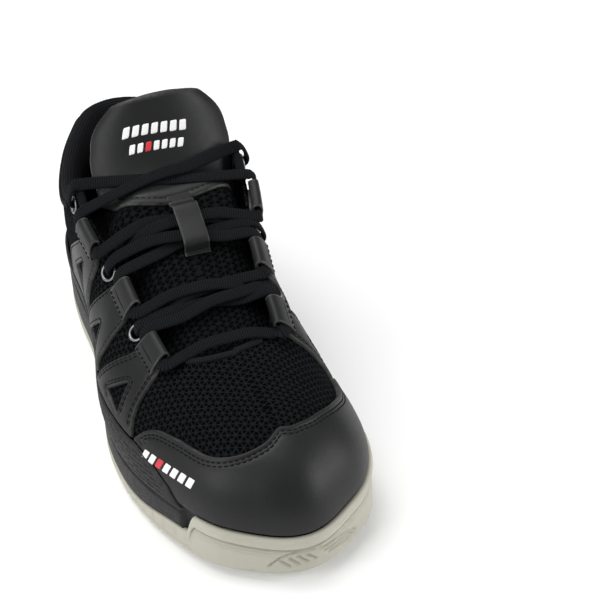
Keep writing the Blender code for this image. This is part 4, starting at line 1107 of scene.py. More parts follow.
def capped(rings, bottom=None, top=None):
    """Points and faces of a stack of loops; each end is closed across from side to side.
    bottom and top give (columns, relief(x, y)) for the end, relief being a rise in z."""
    count, half = len(rings[0]), len(SOLE_T)
    points, faces = [np.vstack(rings)], rings_faces(len(rings), count)
    total = len(points[0])
    for base, ring, detail in ((0, rings[0], bottom), ((len(rings) - 1) * count, rings[-1], top)):
        columns, relief = detail or (1, None)
        lateral = ring[:half]
        medial = np.vstack([ring[:1], ring[half:][::-1], ring[half - 1:half]])
        share = np.arange(1, columns)[:, None, None] / columns
        middle = lateral * (1 - share) + medial * share
        if relief is not None:
            edge = np.minimum(share[..., 0], 1 - share[..., 0]) * np.linalg.norm(
                medial - lateral, axis=1)[None]
            middle[..., 2] += relief(middle[..., 0], middle[..., 1]) * ease(edge, 1.0, 2.5)
        points.append(middle.reshape(-1, 3))

        def at(column, i, base=base, total=total, columns=columns):
            if column == 0:
                return base + i
            if column == columns:
                return base + (i if i in (0, half - 1) else count - i)
            return total + (column - 1) * half + i
        for i in range(half - 1):
            for c in range(columns):
                quad = (at(c, i), at(c + 1, i), at(c + 1, i + 1), at(c, i + 1))
                faces.append(tuple(dict.fromkeys(quad)))
        total += (columns - 1) * half
    return np.vstack(points), [f for f in faces if len(f) > 2]


STRIP_RISE, RISE_FROM, RISE_TO = 6.5, -62, -108


def rubber_step(y, side):
    """1 where the toe bumper stands, easing down to the low strip behind it."""
    return 1 - ease(y, BUMPER_END[side] - 5.0, BUMPER_END[side] + 1.2)


def strip_rise(y, side):
    """How much the low rubber strip climbs towards the end of the lateral bumper."""
    return STRIP_RISE * ease(-y, -RISE_FROM, -RISE_TO) if side < 0 else np.zeros_like(y)


def rubber_top(y, side):
    """Height of the rubber's top edge: the bumper's lip, and the strip behind it."""
    raised, strip = rubber_step(y, side), sole_z(y) + STRIP_TOP + strip_rise(y, side)
    return raised * (feather_z(y) - 0.2) + (1 - raised) * strip


def dent(value, centre, width):
    """1 at the centre of a soft groove or bead of that width, falling to 0 beside it."""
    return np.exp(-((value - centre) / width) ** 2)


# Moulded lines on the toe: arc length from the toe tip (medial positive) and height
TOE_LINES = (
    ((-14.5, 10), (-10, 15.3), (-5.5, 17.8), (0, 18), (5, 16), (11, 15.8), (17, 14.2), (24, 10)),
    ((6, 13.8), (12, 13.4), (18, 11.4), (22, 9)), ((8, 11.6), (14, 10.8), (19, 8.6)),
    ((-10, 13), (-7, 10)), ((-7, 14.6), (-4, 11)), ((-4, 15.4), (-1, 11.6)),
    ((-1, 15.4), (2, 12)),
)


def toe_lines(side, z):
    """How deep the moulded lines on the toe are cut at each station, 0 to 1."""
    s = side * (ARC[side][-1] - np.interp(SOLE_T, TS, ARC[side]))
    spots = np.column_stack([s, z])
    cut = np.zeros(len(s))
    for line in TOE_LINES:
        for a, b in zip(line, line[1:]):
            a, run = np.array(a, float), np.subtract(b, a).astype(float)
            share = np.clip((spots - a) @ run / (run @ run), 0, 1)
            away = np.linalg.norm(spots - a - share[:, None] * run, axis=1)
            cut = np.maximum(cut, dent(away, 0, 0.55))
    return cut


TREAD_DEPTH, BAR_PITCH = 1.5, 11
HERRINGBONE_WIDTH, HERRINGBONE_PITCH = 14, 6.4
PIVOT_X, PIVOT_Y, PIVOT_RADIUS, PIVOT_PITCH = 2, -66, 24.4, 5.2


def tread(x, y):
    """Depth of the tread grooves under the sole: herringbone, a pivot circle under the ball of
    the foot, and straight bars across the waist."""
    past = 400  # keeps the grooves' coordinates positive
    zigzag = off_middle((x + past / 2) / HERRINGBONE_WIDTH) * HERRINGBONE_WIDTH
    cut = ease(off_middle((y + zigzag + past) / HERRINGBONE_PITCH), 0.30, 0.40)
    away = np.hypot(x - PIVOT_X, y - PIVOT_Y)
    cut = np.where(away < PIVOT_RADIUS - 1, ease(off_middle(away / PIVOT_PITCH), 0.28, 0.38), cut)
    cut = np.where(np.abs(away - PIVOT_RADIUS) < 1.2, 1.0, cut)
    waist = ease(y, 0, 4) * (1 - ease(y, 42, 46))
    bars = ease(off_middle((y + past) / BAR_PITCH), 0.38, 0.46)
    return TREAD_DEPTH * (cut * (1 - waist) + bars * waist)


def make_outsole():
    """Rubber cupsole with its lipped toe bumper, notched strip and herringbone tread."""
    def low(rise):
        return lambda y, side: sole_z(y) + rise

    rings = [sole_loop(inset, low(rise)) for inset, rise in
             ((7.0, 0.0), (5.0, 0.1), (3.6, 0.35), (2.4, 0.9), (1.5, 1.7), (1.0, 2.6))]
    wall_from, wall_to = 3.2, 1.3
    for share in np.linspace(0, 1, 52):
        def height(y, side, share=share):
            low_z, high_z = sole_z(y) + wall_from, rubber_top(y, side) - wall_to
            return low_z + (high_z - low_z) * share

        def inset(y, side, height=height):
            z, raised = height(y, side), rubber_step(y, side)
            below, above = rubber_top(y, side) - z, z - sole_z(y)
            lip = 0.95 - 0.8 * dent(below, 3.0, 2.8) + 2.2 * dent(below, 6.6, 0.5)
            lip = lip + 0.6 * dent(below, 8.5, 0.4) + 0.35 * dent(below, 10.2, 0.35)
            lip = lip + 1.5 * toe_lines(side, z)
            a = np.interp(SOLE_T, TS, ARC[side])
            notch = ease(off_middle(a / 7.5), 0.36, 0.44)
            strip = 0.55 + 0.35 * dent(above, 5.0, 0.35) + 0.55 * notch * ease(above, 5.2, 5.8)
            return raised * lip + (1 - raised) * strip
        rings.append(sole_loop(inset, height))
    for inset, drop in ((0.62, 0.8), (0.95, 0.38), (1.5, 0.1), (2.2, 0.0), (2.8, 0.08),
                        (3.2, 0.35), (BUMPER_WALL, 0.9)):
        rings.append(sole_loop(inset, lambda y, side, drop=drop: rubber_top(y, side) - drop))
    rings.append(sole_loop(BUMPER_WALL + 0.2, low(OUTSOLE_FLOOR)))
    points, faces = capped(rings, bottom=(84, tread))
    piece("outsole_rubber", points, faces, RUBBER, "shoe", "outsole_rubber", ["outsole"])


def make_midsole():
    """Moulded foam midsole: a smooth wall, a ledge, and a ribbed wrap up the upper's foot."""
    base = BUMPER_WALL + 0.7

    def strip(y):
        return sole_z(y) + STRIP_TOP + 0.4

    def ledge(y):
        return feather_z(y) - 3.6

    def blended(inset, height, free_at):
        def point_at(side):
            raised = 1 - ease(SOLE_Y, BUMPER_END[side] + 1.8, BUMPER_END[side] + 4.0)
            x, y = outline(SOLE_T, side, BUMPER_WALL + 0.6 + 0.12 * inset)
            tuck_z = np.minimum(height(SOLE_Y), feather_z(SOLE_Y) - 0.6)
            tuck = np.column_stack([x, y, tuck_z])
            free, low = free_at(side), strip(SOLE_Y)
            down = 1 - np.clip((free[:, 2] - low) / (ledge(SOLE_Y) - low), 0, 1)
            free[:, 2] += strip_rise(SOLE_Y, side) * down
            return raised[:, None] * tuck + (1 - raised[:, None]) * free
        return loop_of(point_at)

    def wall(inset, height, detail=None):
        def free_at(side):
            deep = inset if detail is None else inset + detail(height(SOLE_Y), side)
            x, y = outline(SOLE_T, side, deep)
            return np.column_stack([x, y, height(SOLE_Y)])
        return blended(inset, height, free_at)

    def wrap(share, depth, nudge=0.0):
        def free_at(side):
            top = midsole_girth(SOLE_Y, side)
            girth = np.maximum(0.4, top * share + nudge)
            cut = 0.0
            if 0.04 < share < 0.93:
                rows = dent(np.modf(girth / 2.1)[0], 0.5, 0.16)
                breaks = ease(np.sin(SOLE_T * 330 + np.floor(girth / 2.1) * 2.4), -0.9, -0.5)
                pits = hash_noise(np.round(SOLE_T * 400), np.round(girth * 1.5)) * 0.16
                cut = (0.42 * rows * breaks + pits) * ease(top, 5, 9)
            return surface(SOLE_T, k_at(SOLE_T, side, girth), depth - cut)
        return blended(3.0, lambda y: feather_z(y) - 0.6, free_at)

    def grooves(z, side):
        """Long shallow grooves on the medial wall, tapering off towards the bumper."""
        if side < 0:
            return 0.25 * dent(z, sole_z(SOLE_Y) + 10.4, 0.4)
        rise = z - sole_z(SOLE_Y)
        open_to = ease(SOLE_Y, BUMPER_END[1] + 8, BUMPER_END[1] + 26)
        return 0.8 * (dent(rise, 12.2, 0.75) + dent(rise, 15.6, 0.75)) * open_to

    rings = [
        sole_loop(base + 0.4, lambda y, side: sole_z(y) + OUTSOLE_FLOOR + 0.4),
        sole_loop(base, lambda y, side: strip(y) + strip_rise(y, side)),
        wall(2.4, lambda y: strip(y) + 0.05),
        wall(1.5, lambda y: strip(y) + 0.25),
        wall(1.0, lambda y: strip(y) + 0.8),
    ]
    for share in np.linspace(0.04, 1, 15):
        rings.append(wall(0.8 + 0.5 * share ** 2,
                          lambda y, share=share: strip(y) + 0.8 + (ledge(y) - strip(y) - 0.8)
                          * share, grooves))
    rings += [wall(1.7, lambda y: ledge(y) + 0.25), wall(2.0, lambda y: ledge(y) + 0.7),
              wall(1.85, lambda y: ledge(y) + 1.4), wall(1.6, lambda y: ledge(y) + 2.4)]
    rings += [wrap(share, 2.6 - 0.4 * share) for share in np.linspace(0.03, 0.96, 30)]
    rings += [wrap(1.0, 2.0), wrap(1.0, 1.6, 0.35), wrap(1.0, 1.0, 0.4), wrap(1.0, 0.75),
              wrap(0.5, 0.6), wrap(0.05, 0.6)]
    rings += [sole_loop(inset, height) for inset, height in (
        (5.6, lambda y, side: feather_z(y) - 0.4),
        (BED_INSET - 0.4, lambda y, side: feather_z(y) - 0.4),
        (BED_INSET, lambda y, side: bed_z(y)))]
    points, faces = capped(rings)
    piece("midsole_foam", points, faces, MIDSOLE, "shoe", "midsole_foam", ["midsole"])


def make_insole():
    """Removable insole: a cupped, rounded sheet with a fabric face."""
    low, edge = 0.3 + BOARD_THICK + 0.3, BED_INSET + 1.2
    rings = [sole_loop(edge + inset, lambda y, side, rise=rise: bed_z(y) + low + rise)
             for inset, rise in ((1.2, 0.0), (0.4, 0.4), (0.0, 1.2), (-0.1, 2.4), (0.05, 3.4),
                                 (0.5, 3.9), (1.2, 4.1), (2.4, 3.95), (4.5, 3.5), (8.0, 3.2))]
    points, faces = capped(rings, top=(24, lambda x, y: -0.25 + 0.1 * np.sin(x / 5) ** 2))
    made = piece("insole_footbed", points, faces, FOOTBED, "insole", "insole", ["insole"],
                 cloth=points)


# --- upper ----------------------------------------------------------------------------------
def eyelet_loop(side, place, to_flat, radius=4.0, count=32):
    """A round hole in the knit under an eyelet, in flat coordinates."""
    _, _, back, inward = frame_at(side, *place)
    t, k = chart(side, [place])[0]
    step = 1e-3
    along = surface(t + step, k) - surface(t - step, k)
    across = surface(t, k + step) - surface(t, k - step)
    solve = np.linalg.pinv(np.column_stack([along, across]) / (2 * step))
    turns = np.arange(count) * 2 * math.pi / count
    spots = np.array([[t, k] + solve @ (radius * (math.cos(a) * back + math.sin(a) * inward))
                      for a in turns])
    return to_flat(side, spots[:, 0], girth_at(spots[:, 0], spots[:, 1]))


def overlay_outline(name):
    """Outline and window of an overlay in flat side coordinates, corners rounded."""
    side, (rear, front), top, window = OVERLAYS[name]
    foot = foot_edge(side, front, rear, 12)
    corners = on_side(side, [*foot, *top])
    feet, rest = corners[:len(foot)], corners[len(foot) - 1:]
    upper = soften(np.vstack([rest, feet[:1]]), 4.0)[5:-5]
    outer = dense(np.vstack([feet, upper]), 0.8)
    return side, [outer, dense(soften(on_side(side, window), 2.2), 0.8)]


def weave_top(base):
    """Yarn coordinates over the vamp: along the foot, and out from its ridge."""
    x, y, z = base.T
    ridge_x, ridge_z = smooth(SECTIONS, y, 3), smooth(SECTIONS, y, 2)
    out = np.abs(x - ridge_x) + 0.55 * np.maximum(ridge_z - z, 0)
    return np.column_stack([y * 1.04, np.sign(x - ridge_x) * out, np.zeros(len(x))])


def knit_depth(d, yarn):
    """Depth of the knit's face: sunk between its yarns and drawn in along its edges."""
    relief = net(yarn[:, 0], yarn[:, 1])
    return -0.05 - 0.62 * (1 - relief) - 0.25 * (1 - ease(d, 0, 1.2))


KNIT_STEP = 0.55


def make_vamp():
    """Knitted vamp over the forefoot, running under the toe cap and the throat's edging."""
    seam_t = float(t_at(SEAM_Y))
    parts = {}
    for side in (-1, 1):
        starts = CAP_EDGE[side][0][0] + 0.012
        t = np.linspace(seam_t, 1.0, 260)
        edge = np.interp(t, *zip(*CAP_EDGE[side])) - 7
        foot = np.maximum(np.maximum(BASE_GIRTH, midsole_girth(y_at(t), side) - 3),
                          np.where(t > starts, edge, 0))
        throat = throat_line(side)
        seam_top = float(np.interp(SEAM_Y, *throat.T))
        throat = throat[throat[:, 0] <= SEAM_Y]
        parts[side] = (on_top(side, t, foot), on_top(side, seam_t, seam_top),
                       on_top(side, t_at(throat[:, 0]), throat[:, 1]))
    (foot_l, seam_l, throat_l), (foot_m, seam_m, throat_m) = parts[-1], parts[1]
    toe_b = foot_m[-1, 1]
    toe = np.column_stack([np.full(121, foot_l[-1, 0]), np.linspace(-toe_b, toe_b, 121)])
    loop = np.vstack([walk([*foot_l[:-1], toe[0]], 0.8)[:-1], toe,
                      walk([*foot_m[:-1][::-1], seam_m[0], *throat_m[::-1], *throat_l[1:],
                            seam_l[0], foot_l[0]], 0.8)[:-1]])
    loops = [loop] + [eyelet_loop(side, EYELETS[side][0], on_top) for side in (-1, 1)]
    plate("vamp_knit", loops, top_chart, KNIT_STEP,
          lambda flat, d, base: knit_depth(d, weave_top(base)), -MESH_THICK, KNIT, "knit_mesh",
          ["vamp_mesh"], insets=(0.4,), weave=weave_top, merge=True)


def make_quarter(side, word):
    """Knitted quarter from the side seam to the heel, sparse where overlays hide it."""
    front, back = SEAM_Y + 0.4, float(y_at(0.006))
    throat = throat_line(side)
    top = float(np.interp(front, *throat.T))
    throat = throat[throat[:, 0] > front + 1]
    rim = rim_line(side)
    rim = rim[(rim[:, 0] < back - 0.05)][1:]
    rim_end = (back, RIM[side][-1][1])
    foot_t = np.linspace(0.006, float(t_at(front)), 90)
    foot_g = np.maximum(BASE_GIRTH, midsole_girth(y_at(foot_t), side) - 3)
    corners = [(front, top), *throat, *rim, rim_end, *zip(y_at(foot_t), foot_g)]
    loops = [dense(on_side(side, corners), 0.8)]
    loops += [eyelet_loop(side, place, flat_side) for place in EYELETS[side][1:]]
    covers = [overlay_outline(name)[1] for name in OVERLAYS if name.startswith(word)]
    heel_from = np.interp(0.20, TS, ARC[side])

    def covered(points):
        hidden = (points[:, 0] < heel_from) & (points[:, 1] < 40)
        for outer, window in covers:
            hidden |= (inside(points, outer) & ~inside(points, window)
                       & (distance_to(points, [outer, window]) > 2.5))
        return hidden

    plate(f"quarter_knit_{word}", loops, side_chart(side), KNIT_STEP,
          lambda flat, d, base: knit_depth(d, flat), -MESH_THICK, KNIT, "knit_mesh",
          [f"quarter_mesh_{word}"], insets=(0.4,), coarse=covered)


def panel_depth(flat, d, base, rows=(1.7,), sewn=None, bead=0.0, high=1.75, low=0.12):
    """Depth of a leather panel: rolled edges, a folded bead and pulled-in seams."""
    depth = rounded(d, high, low, 0.95) + 0.07 * ripple(base, 9.0)
    mask = 1.0 if sewn is None else sewn(flat)
    if bead:
        depth = depth + bead * dent(d, 1.3, 0.9) * mask
    for row in rows:
        depth = depth - 0.34 * dent(d, row, 0.38) * mask
    return depth


def leather_plate(name, node, loops, locate, sewn, rows, bead):
    """A leather panel with rows of stitches along its edges where sewn(points) holds."""
    insets = [0.15, 0.4, 0.8, 1.2] + [row + shift for row in rows for shift in (-0.35, 0, 0.35)]
    insets = sorted({round(inset, 2) for inset in insets if inset > 0})
    plate(name, loops, locate, 1.5,
          lambda flat, d, base: panel_depth(flat, d, base, rows, sewn, bead),
          -0.02, LEATHER, "leather", [node], insets=insets)
    stitching(name + "_stitching", stitch_loops(loops, locate, rows, sewn, 1.62))


def make_toe_cap():
    """Toe cap with a folded rear edge and two rows of stitches along it."""
    ends = {-1: 0.662, 1: 0.652}
    foot, edge = [], []
    for side in (-1, 1):
        t = np.linspace(ends[side], 1, 200)
        foot.append(on_wrap("toe", side, t, foot_girth(t, side)))
        rows = [row for row in CAP_EDGE[side] if row[0] > ends[side] + 0.004]
        ts = [ends[side]] + [row[0] for row in rows]
        girths = np.interp(ts, *zip(*CAP_EDGE[side]))
        edge.append(on_wrap("toe", side, np.array(ts), girths))
    foot = np.vstack([foot[0], foot[1][::-1][1:]])
    edge = np.vstack([edge[0], edge[1][::-1][1:]])
    edge = curve_walk(edge, 1.2)
    corners = np.vstack([foot, edge[::-1]])
    loops = [dense(corners, 0.9)]
    near = curve_walk(edge, 1.0)

    def sewn(points):
        away = np.array([np.hypot(*(near - p).T).min() for p in points])
        return away < 6.5

    leather_plate("toe_cap_leather", "toe_cap", loops, wrap_chart("toe"), sewn, (2.7, 4.3),
                  bead=0.35)


def make_overlays():
    """Leather overlays, each a band and a slanting leg round a triangular window."""
    for name in OVERLAYS:
        side, loops = overlay_outline(name)

        def sewn(points, side=side):
            y = y_at(np.interp(points[:, 0], ARC[side], TS))
            return points[:, 1] > foot_girth(t_at(y), side) + 3.5

        rows = (1.6, 3.0) if name.endswith("_3") else (1.7,)
        leather_plate(name + "_leather", name, loops, side_chart(side), sewn, rows, bead=0.15)


def make_heel_panel():
    """Leather back panel with a stitched edge, and the folded tape over the back seam."""
    reach = 0.215
    t = np.linspace(reach, 0, 90)
    sides = {}
    for side in (-1, 1):
        sides[side] = (on_wrap("heel", side, t, foot_girth(t, side)),
                       on_wrap("heel", side, t, 66 - 34 * ease(t, 0.05, reach)))
    corners = np.vstack([sides[-1][0], sides[1][0][::-1][1:], sides[1][1],
                         sides[-1][1][::-1][1:]])
    loops = [dense(corners, 0.9)]
    leather_plate("heel_panel_leather", "heel_overlay", loops, wrap_chart("heel"),
                  lambda points: points[:, 1] > 12, (1.8, 3.3), bead=0.2)
    tape = [(-4.2, 20), (4.2, 20), (4.2, 64), (-4.2, 64)]
    loops = [dense(soften(np.array(tape, float), 1.5), 0.9)]
    plate("heel_seam_tape", loops, wrap_chart("heel"), 1.2,
          lambda flat, d, base: panel_depth(flat, d, base, (1.3,), high=2.6, low=1.7),
          1.6, STRAP, "leather", insets=(0.15, 0.4, 0.8, 1.15, 1.5))
    places = stitch_loops(loops, wrap_chart("heel"), (1.3,), lambda p: np.ones(len(p), bool), 2.4)
    stitching("heel_seam_tape_stitching", places)


# Cross section of a lace loop, inward and up: its outer and its inner outline
LOOP_OUTER = ((-6.6, 0.1), (-5.9, 0.95), (-4.4, 1.9), (-2.2, 3.1), (0.5, 4.3), (3.2, 5.1),
              (5.2, 5.05), (6.3, 4.2), (6.6, 2.8), (6.2, 1.2), (5.0, 0.1), (0.0, 0.0))
LOOP_INNER = ((-4.6, 0.95), (-3.6, 1.35), (-1.8, 2.2), (0.6, 3.25), (3.0, 4.0), (4.7, 3.95),
              (5.4, 3.3), (5.6, 2.4), (5.2, 1.5), (4.3, 1.0), (2.0, 0.95), (-1.5, 0.95))


def closed_curve(points, count):
    """A smooth closed curve through points, as count points evenly apart."""
    p = np.array(points, float)
    around = np.vstack([p[-1:], p, p[:2]])
    line = []
    for a, b, c, d in zip(around, around[1:], around[2:], around[3:]):
        line.append(catmull_rom(a, b, c, d, np.arange(8)[:, None] / 8))
    line = np.vstack([*line, line[0][:1]])
    runs = run_along(line)
    at = np.arange(count) * runs[-1] / count
    return np.column_stack([np.interp(at, runs, line[:, c]) for c in (0, 1)])


def make_loop(name, node, side, place):
    """Lace loop: the leather folded back under itself over the throat's edge."""
    here, normal, back, inward = frame_at(side, *place, LEATHER_HIGH + 0.6)
    here = here - normal * 0.55
    count, half = 40, LOOP_LENGTH / 2
    outer, inner = closed_curve(LOOP_OUTER, count), closed_curve(LOOP_INNER, count)
    rolled = ((outer * 0.75 + inner * 0.25, 1.02), ((outer + inner) / 2, 1.03),
              (outer * 0.25 + inner * 0.75, 1.02))
    rings = [(outer, s) for s in np.linspace(-1, 1, 15)] + list(rolled)
    rings += [(inner, s) for s in np.linspace(1, -1, 15)]
    rings += [(shape, -s) for shape, s in rolled[::-1]]
    points, edge = [], []
    for shape, s in rings:
        reach = half * s * (0.97 - 0.09 * shape[:, :1] / 6.5)
        crown = 0.12 * (1 - s * s)
        points.append(here + back * reach + inward * shape[:, :1]
                      + normal * (shape[:, 1:] * (1 + crown * 0.3)))
        edge.append(np.full(count, max(0.0, half * (1 - abs(s)))))
    points, edge = np.vstack(points), np.concatenate(edge)
    rows = len(rings)
    faces = rings_faces(rows, count)
    faces += [((rows - 1) * count + i, (rows - 1) * count + (i + 1) % count, (i + 1) % count, i)
              for i in range(count)]
    piece(name, points, faces, STRAP, "shoe", "leather", [node], edge=edge)
    seam = [(here + back * s + inward * -5.9 + normal * 1.25, back, normal - inward * 0.9)
            for s in np.linspace(-half * 0.88, half * 0.88, 6)]
    stitching(name + "_stitching", seam, radius=0.36)


def make_eyelet(name, node, side, place):
    """Rolled metal eyelet."""
    here, normal, back, inward = frame_at(side, *place)
    profile = np.array([(EYELET_BORE, -MESH_THICK - 0.4), (EYELET_BARREL, -MESH_THICK - 0.4),
                        (EYELET_BARREL, -0.5), (EYELET_BARREL, 0.15), (4.45, 0.2), (4.68, 0.4),
                        (4.74, 0.65), (4.62, 0.95), (4.35, 1.18), (4.0, 1.25), (3.65, 1.15),
                        (3.35, 0.9), (EYELET_BORE, 0.5), (EYELET_BORE, -0.6)])
    turns = np.arange(44) * 2 * math.pi / 44
    points = np.vstack([here + (math.cos(a) * back + math.sin(a) * inward) * profile[:, :1]
                        + normal * profile[:, 1:] for a in turns])
    rows, width = len(turns), len(profile)
    faces = [(i * width + a, i * width + (a + 1) % width,
              (i + 1) % rows * width + (a + 1) % width, (i + 1) % rows * width + a)
             for i in range(rows) for a in range(width)]
    piece(name, points, faces, METAL, "shoe", "eyelet_metal", [node])


def make_lace_fittings():
    """Loops and eyelets, numbered from the ankle to the toe."""
    for side, word in SIDES:
        for number, loop, eyelet in zip((3, 2, 1), LOOPS[side], EYELETS[side]):
            make_loop(f"loop_{word}_{number}", f"lace_loop_{word}_{number}", side, loop)
            make_eyelet(f"ring_{word}_{number}", f"eyelet_{word}_{number}", side, eyelet)


def make_collar():
    """Padded collar: ribbed lining rolled over the foam and down inside to the footbed."""
    front = 0.372
    rims = {side: rim_line(side) for side in (-1, 1)}
    # The roll over the rim as girth above the rim and depth, then the lining down to the footbed
    # and back up as girth from the feather line and depth
    section = (
        (-3.0, 0.15), (-1.2, 0.5), (1.0, 0.35), (3.2, -0.6), (4.9, -2.4), (5.5, -4.4),
        (4.9, -6.4), (3.2, -7.9), (0.6, -9.2), (-3.0, -10.1), (-7.0, -10.2), (-11.0, -9.6))
    inner = ((46, -8.0), (42, -6.9), (36, -6.35), (28, -6.25), (20, -6.2), (12, -6.2),
             (6, -6.2), (2.7, -6.1), (2.7, -5.0), (6, -5.0), (20, -5.0), (36, -5.1), (46, -6.6))
    path = [(-1, t) for t in np.linspace(front, 0, 150)]
    path += [(1, t) for t in np.linspace(0, front, 150)[1:]]

    def rim_at(side, t):
        return float(np.interp(float(y_at(t)), *rims[side].T))

    points, yarn, run, last = [], [], 0.0, None
    for side, t in path:
        rim = rim_at(side, t)
        rows = [*((rim + g, depth) for g, depth in section), *inner, (rim - 3.0, -3.0)]
        girth, depth = np.array(rows).T
        here = surface(np.full(len(rows), t), k_at(np.full(len(rows), t), side, girth), depth)
        if last is not None:
            run += float(np.linalg.norm(here[9] - last))
        last = here[9]
        pinch = 0.12 * math.sin(run / 1.5 * 2 * math.pi / 3)
        here[3:10] += (here[3:10] - here[3:10].mean(0)) * pinch * 0.05
        points.append(here)
        yarn.append(np.column_stack([run_along(here), np.full(len(rows), run),
                                     np.zeros(len(rows))]))
    count = len(points[0])
    faces = rings_faces(len(points), count) + end_faces(len(points), count)
    obj = piece("collar_padding", np.vstack(points), faces, LINING, "shoe", "lining",
                ["collar_lining", "collar_foam"], cloth=np.vstack(yarn))
    route, normals = [], []
    for side, t in path[::2]:
        k = float(k_at(t, side, rim_at(side, t) - 1.4))
        route.append(surface(t, k, 0.75))
        normals.append(surface(t, k, 1.75) - route[-1])
    sweep("collar_piping", route, np.array(normals), lambda i, share, run: oval(3.4, 1.7, 14),
          BINDING, "binding", ["collar_binding"])
    for side, word in SIDES:
        make_top_roll(side, word, rims[side], front)


def make_top_roll(side, word, rim, front):
    """Rolled edging from the top lace loop up to the padded collar."""
    line = throat_line(side)
    start = LOOPS[side][2][0] + LOOP_LENGTH / 2 + 1.0
    corners = [*line[line[:, 0] > start], *rim[1:][rim[1:, 0] < float(y_at(front)) + 3.0]]
    at = chart(side, curve_walk(corners, 1.0))
    base, normal = lasted(at[:, 0], at[:, 1])
    inward = surface(at[:, 0], at[:, 1] * 0.985) - base
    inward /= np.linalg.norm(inward, axis=1, keepdims=True)
    centres = base + inward * 0.2 - normal * 1.2
    sweep(f"top_edge_{word}", centres, normal + inward * 0.4,
          lambda i, share, run: oval(4.6, 3.4 + 1.6 * share, 16, 2.0), LINING, "binding")


def make_throat_binding():
    """Folded tape round the throat's edge, from the front loops round its front."""
    lines = {}
    for side in (-1, 1):
        line = throat_line(side)
        lines[side] = chart(side, line[line[:, 0] < -54.5])
    at = np.vstack([lines[-1][::-1], lines[1][1:]])
    base, normal = lasted(at[:, 0], at[:, 1])
    centre = np.array([4.0, -45.0, 70.0])
    inward = centre - base
    inward -= normal * (inward * normal).sum(1, keepdims=True)
    inward /= np.linalg.norm(inward, axis=1, keepdims=True)
    route = curve_walk(base + inward * 0.3 + normal * 0.1, 0.8)
    ups = curve_walk(base + normal * 5, 0.8)[:len(route)]
    rows = min(len(route), len(ups))
    ups = ups[:rows] - route[:rows]
    sweep("throat_tape", route[:rows], ups, lambda i, share, run: oval(3.3, 2.3, 14, 2.2),
          BINDING, "binding", ["throat_binding"])


# --- tongue ---------------------------------------------------------------------------------
# Where the tongue leaves the shoe's body for the tongue top's, in metres
FLEX = ("shoe", "tongue_top", (0.008, 0.041, 0.1065), (0.008, 0.046, 0.1135))
TONGUE_HALF = 32.0


def tongue_chart(flat):
    """Points and normals of the tongue's outer face at (v, millimetres across)."""
    return tongue_at(flat[:, 0], flat[:, 1] / TONGUE_HALF)


def make_tongue():
    """Padded tongue: knit below, one pad from throat to top."""
    v = np.arange(TONGUE_FRONT, TONGUE_END - 0.2, 0.6)
    v = np.append(v, TONGUE_END)
    h = np.concatenate([np.linspace(-1, 1, 120), np.linspace(1, -1, 40)[1:-1]])
    outer_count = 120
    vv, hh = np.meshgrid(v, h, indexing="ij")
    base, normal = tongue_at(vv.ravel(), hh.ravel())
    end = np.minimum(ease(TONGUE_END - vv, 0, 4.5), ease(vv - TONGUE_FRONT, 0, 3)).ravel()
    side = np.clip((1 - np.abs(hh.ravel())) / 0.10, 0, 1)
    roll = np.sqrt(1 - (1 - side) ** 2) * np.sqrt(1 - (1 - end) ** 2)
    yarn = np.column_stack([vv.ravel(), hh.ravel() * TONGUE_HALF, np.zeros(vv.size)])
    relief = net(yarn[:, 0], yarn[:, 1], 3.0)
    half_thick = TONGUE_THICK * np.clip(1 - np.abs(hh.ravel()) ** 4 * 0.45, 0, 1) / 2
    top = -half_thick + half_thick * roll - 0.4 * (1 - relief) * roll
    bottom = -half_thick - half_thick * roll
    over = (np.arange(len(h)) < outer_count)[None, :].repeat(len(v), 0).ravel()
    points = base + normal * np.where(over, top, bottom)[:, None]
    faces = rings_faces(len(v), len(h)) + end_faces(len(v), len(h))
    pad = piece("tongue_padding", points, faces, TONGUE_KNIT, None, "knit_mesh",
                ["tongue_pad_lower", "tongue_pad_upper"], blend=FLEX, cloth=yarn, relief=relief)
    make_tongue_patch()


def patch_low(h):
    """Lower edge of the leather patch on the tongue, drawn up towards its sides."""
    rise = np.where(np.asarray(h) < 0, 20, 12)
    return 19.5 + rise * (np.sqrt(np.asarray(h) ** 2 + 0.01) - 0.1)


def make_tongue_patch():
    """Leather patch over the top of the tongue, sewn along its lower edge."""
    h = np.linspace(-0.97, 0.97, 90)
    low = np.column_stack([patch_low(h), h * TONGUE_HALF])
    right = np.column_stack([np.linspace(patch_low(0.97), 60.6, 60)[1:],
                             np.full(59, 0.97 * TONGUE_HALF)])
    top = np.column_stack([np.full(90, 60.6), h[::-1] * TONGUE_HALF])[1:]
    left = np.column_stack([np.linspace(60.6, patch_low(-0.97), 60)[1:-1],
                            np.full(58, -0.97 * TONGUE_HALF)])
    loop = dense(np.vstack([low, right, top, left]), 0.8)
    rows = (3.2,)
    insets = [0.15, 0.4, 0.8, 1.2, 2.85, 3.2, 3.55]

    def lower(p):
        return p[:, 0] < patch_low(p[:, 1] / TONGUE_HALF) + 7

    def depth(flat, d, base):
        return panel_depth(flat, d, base, rows, lower, 0.25, high=1.5, low=0.55)

    plate("tongue_patch", [loop], tongue_chart, 1.3, depth, 0.25, LEATHER, "leather",
          ["tongue_cover"], insets=insets, blend=FLEX)
    places = stitch_loops([loop], tongue_chart, rows, lower, 1.25)
    stitching("tongue_patch_stitching", places, blend=FLEX)


def bar(u, v, length, height, slant):
    """A slanted bar as a closed outline in flat coordinates: v runs across, u up."""
    corners = [(u, v), (u, v + length), (u + height, v + length + slant), (u + height, v + slant)]
    return dense(soften(np.array(corners, float), 0.5), 0.45)


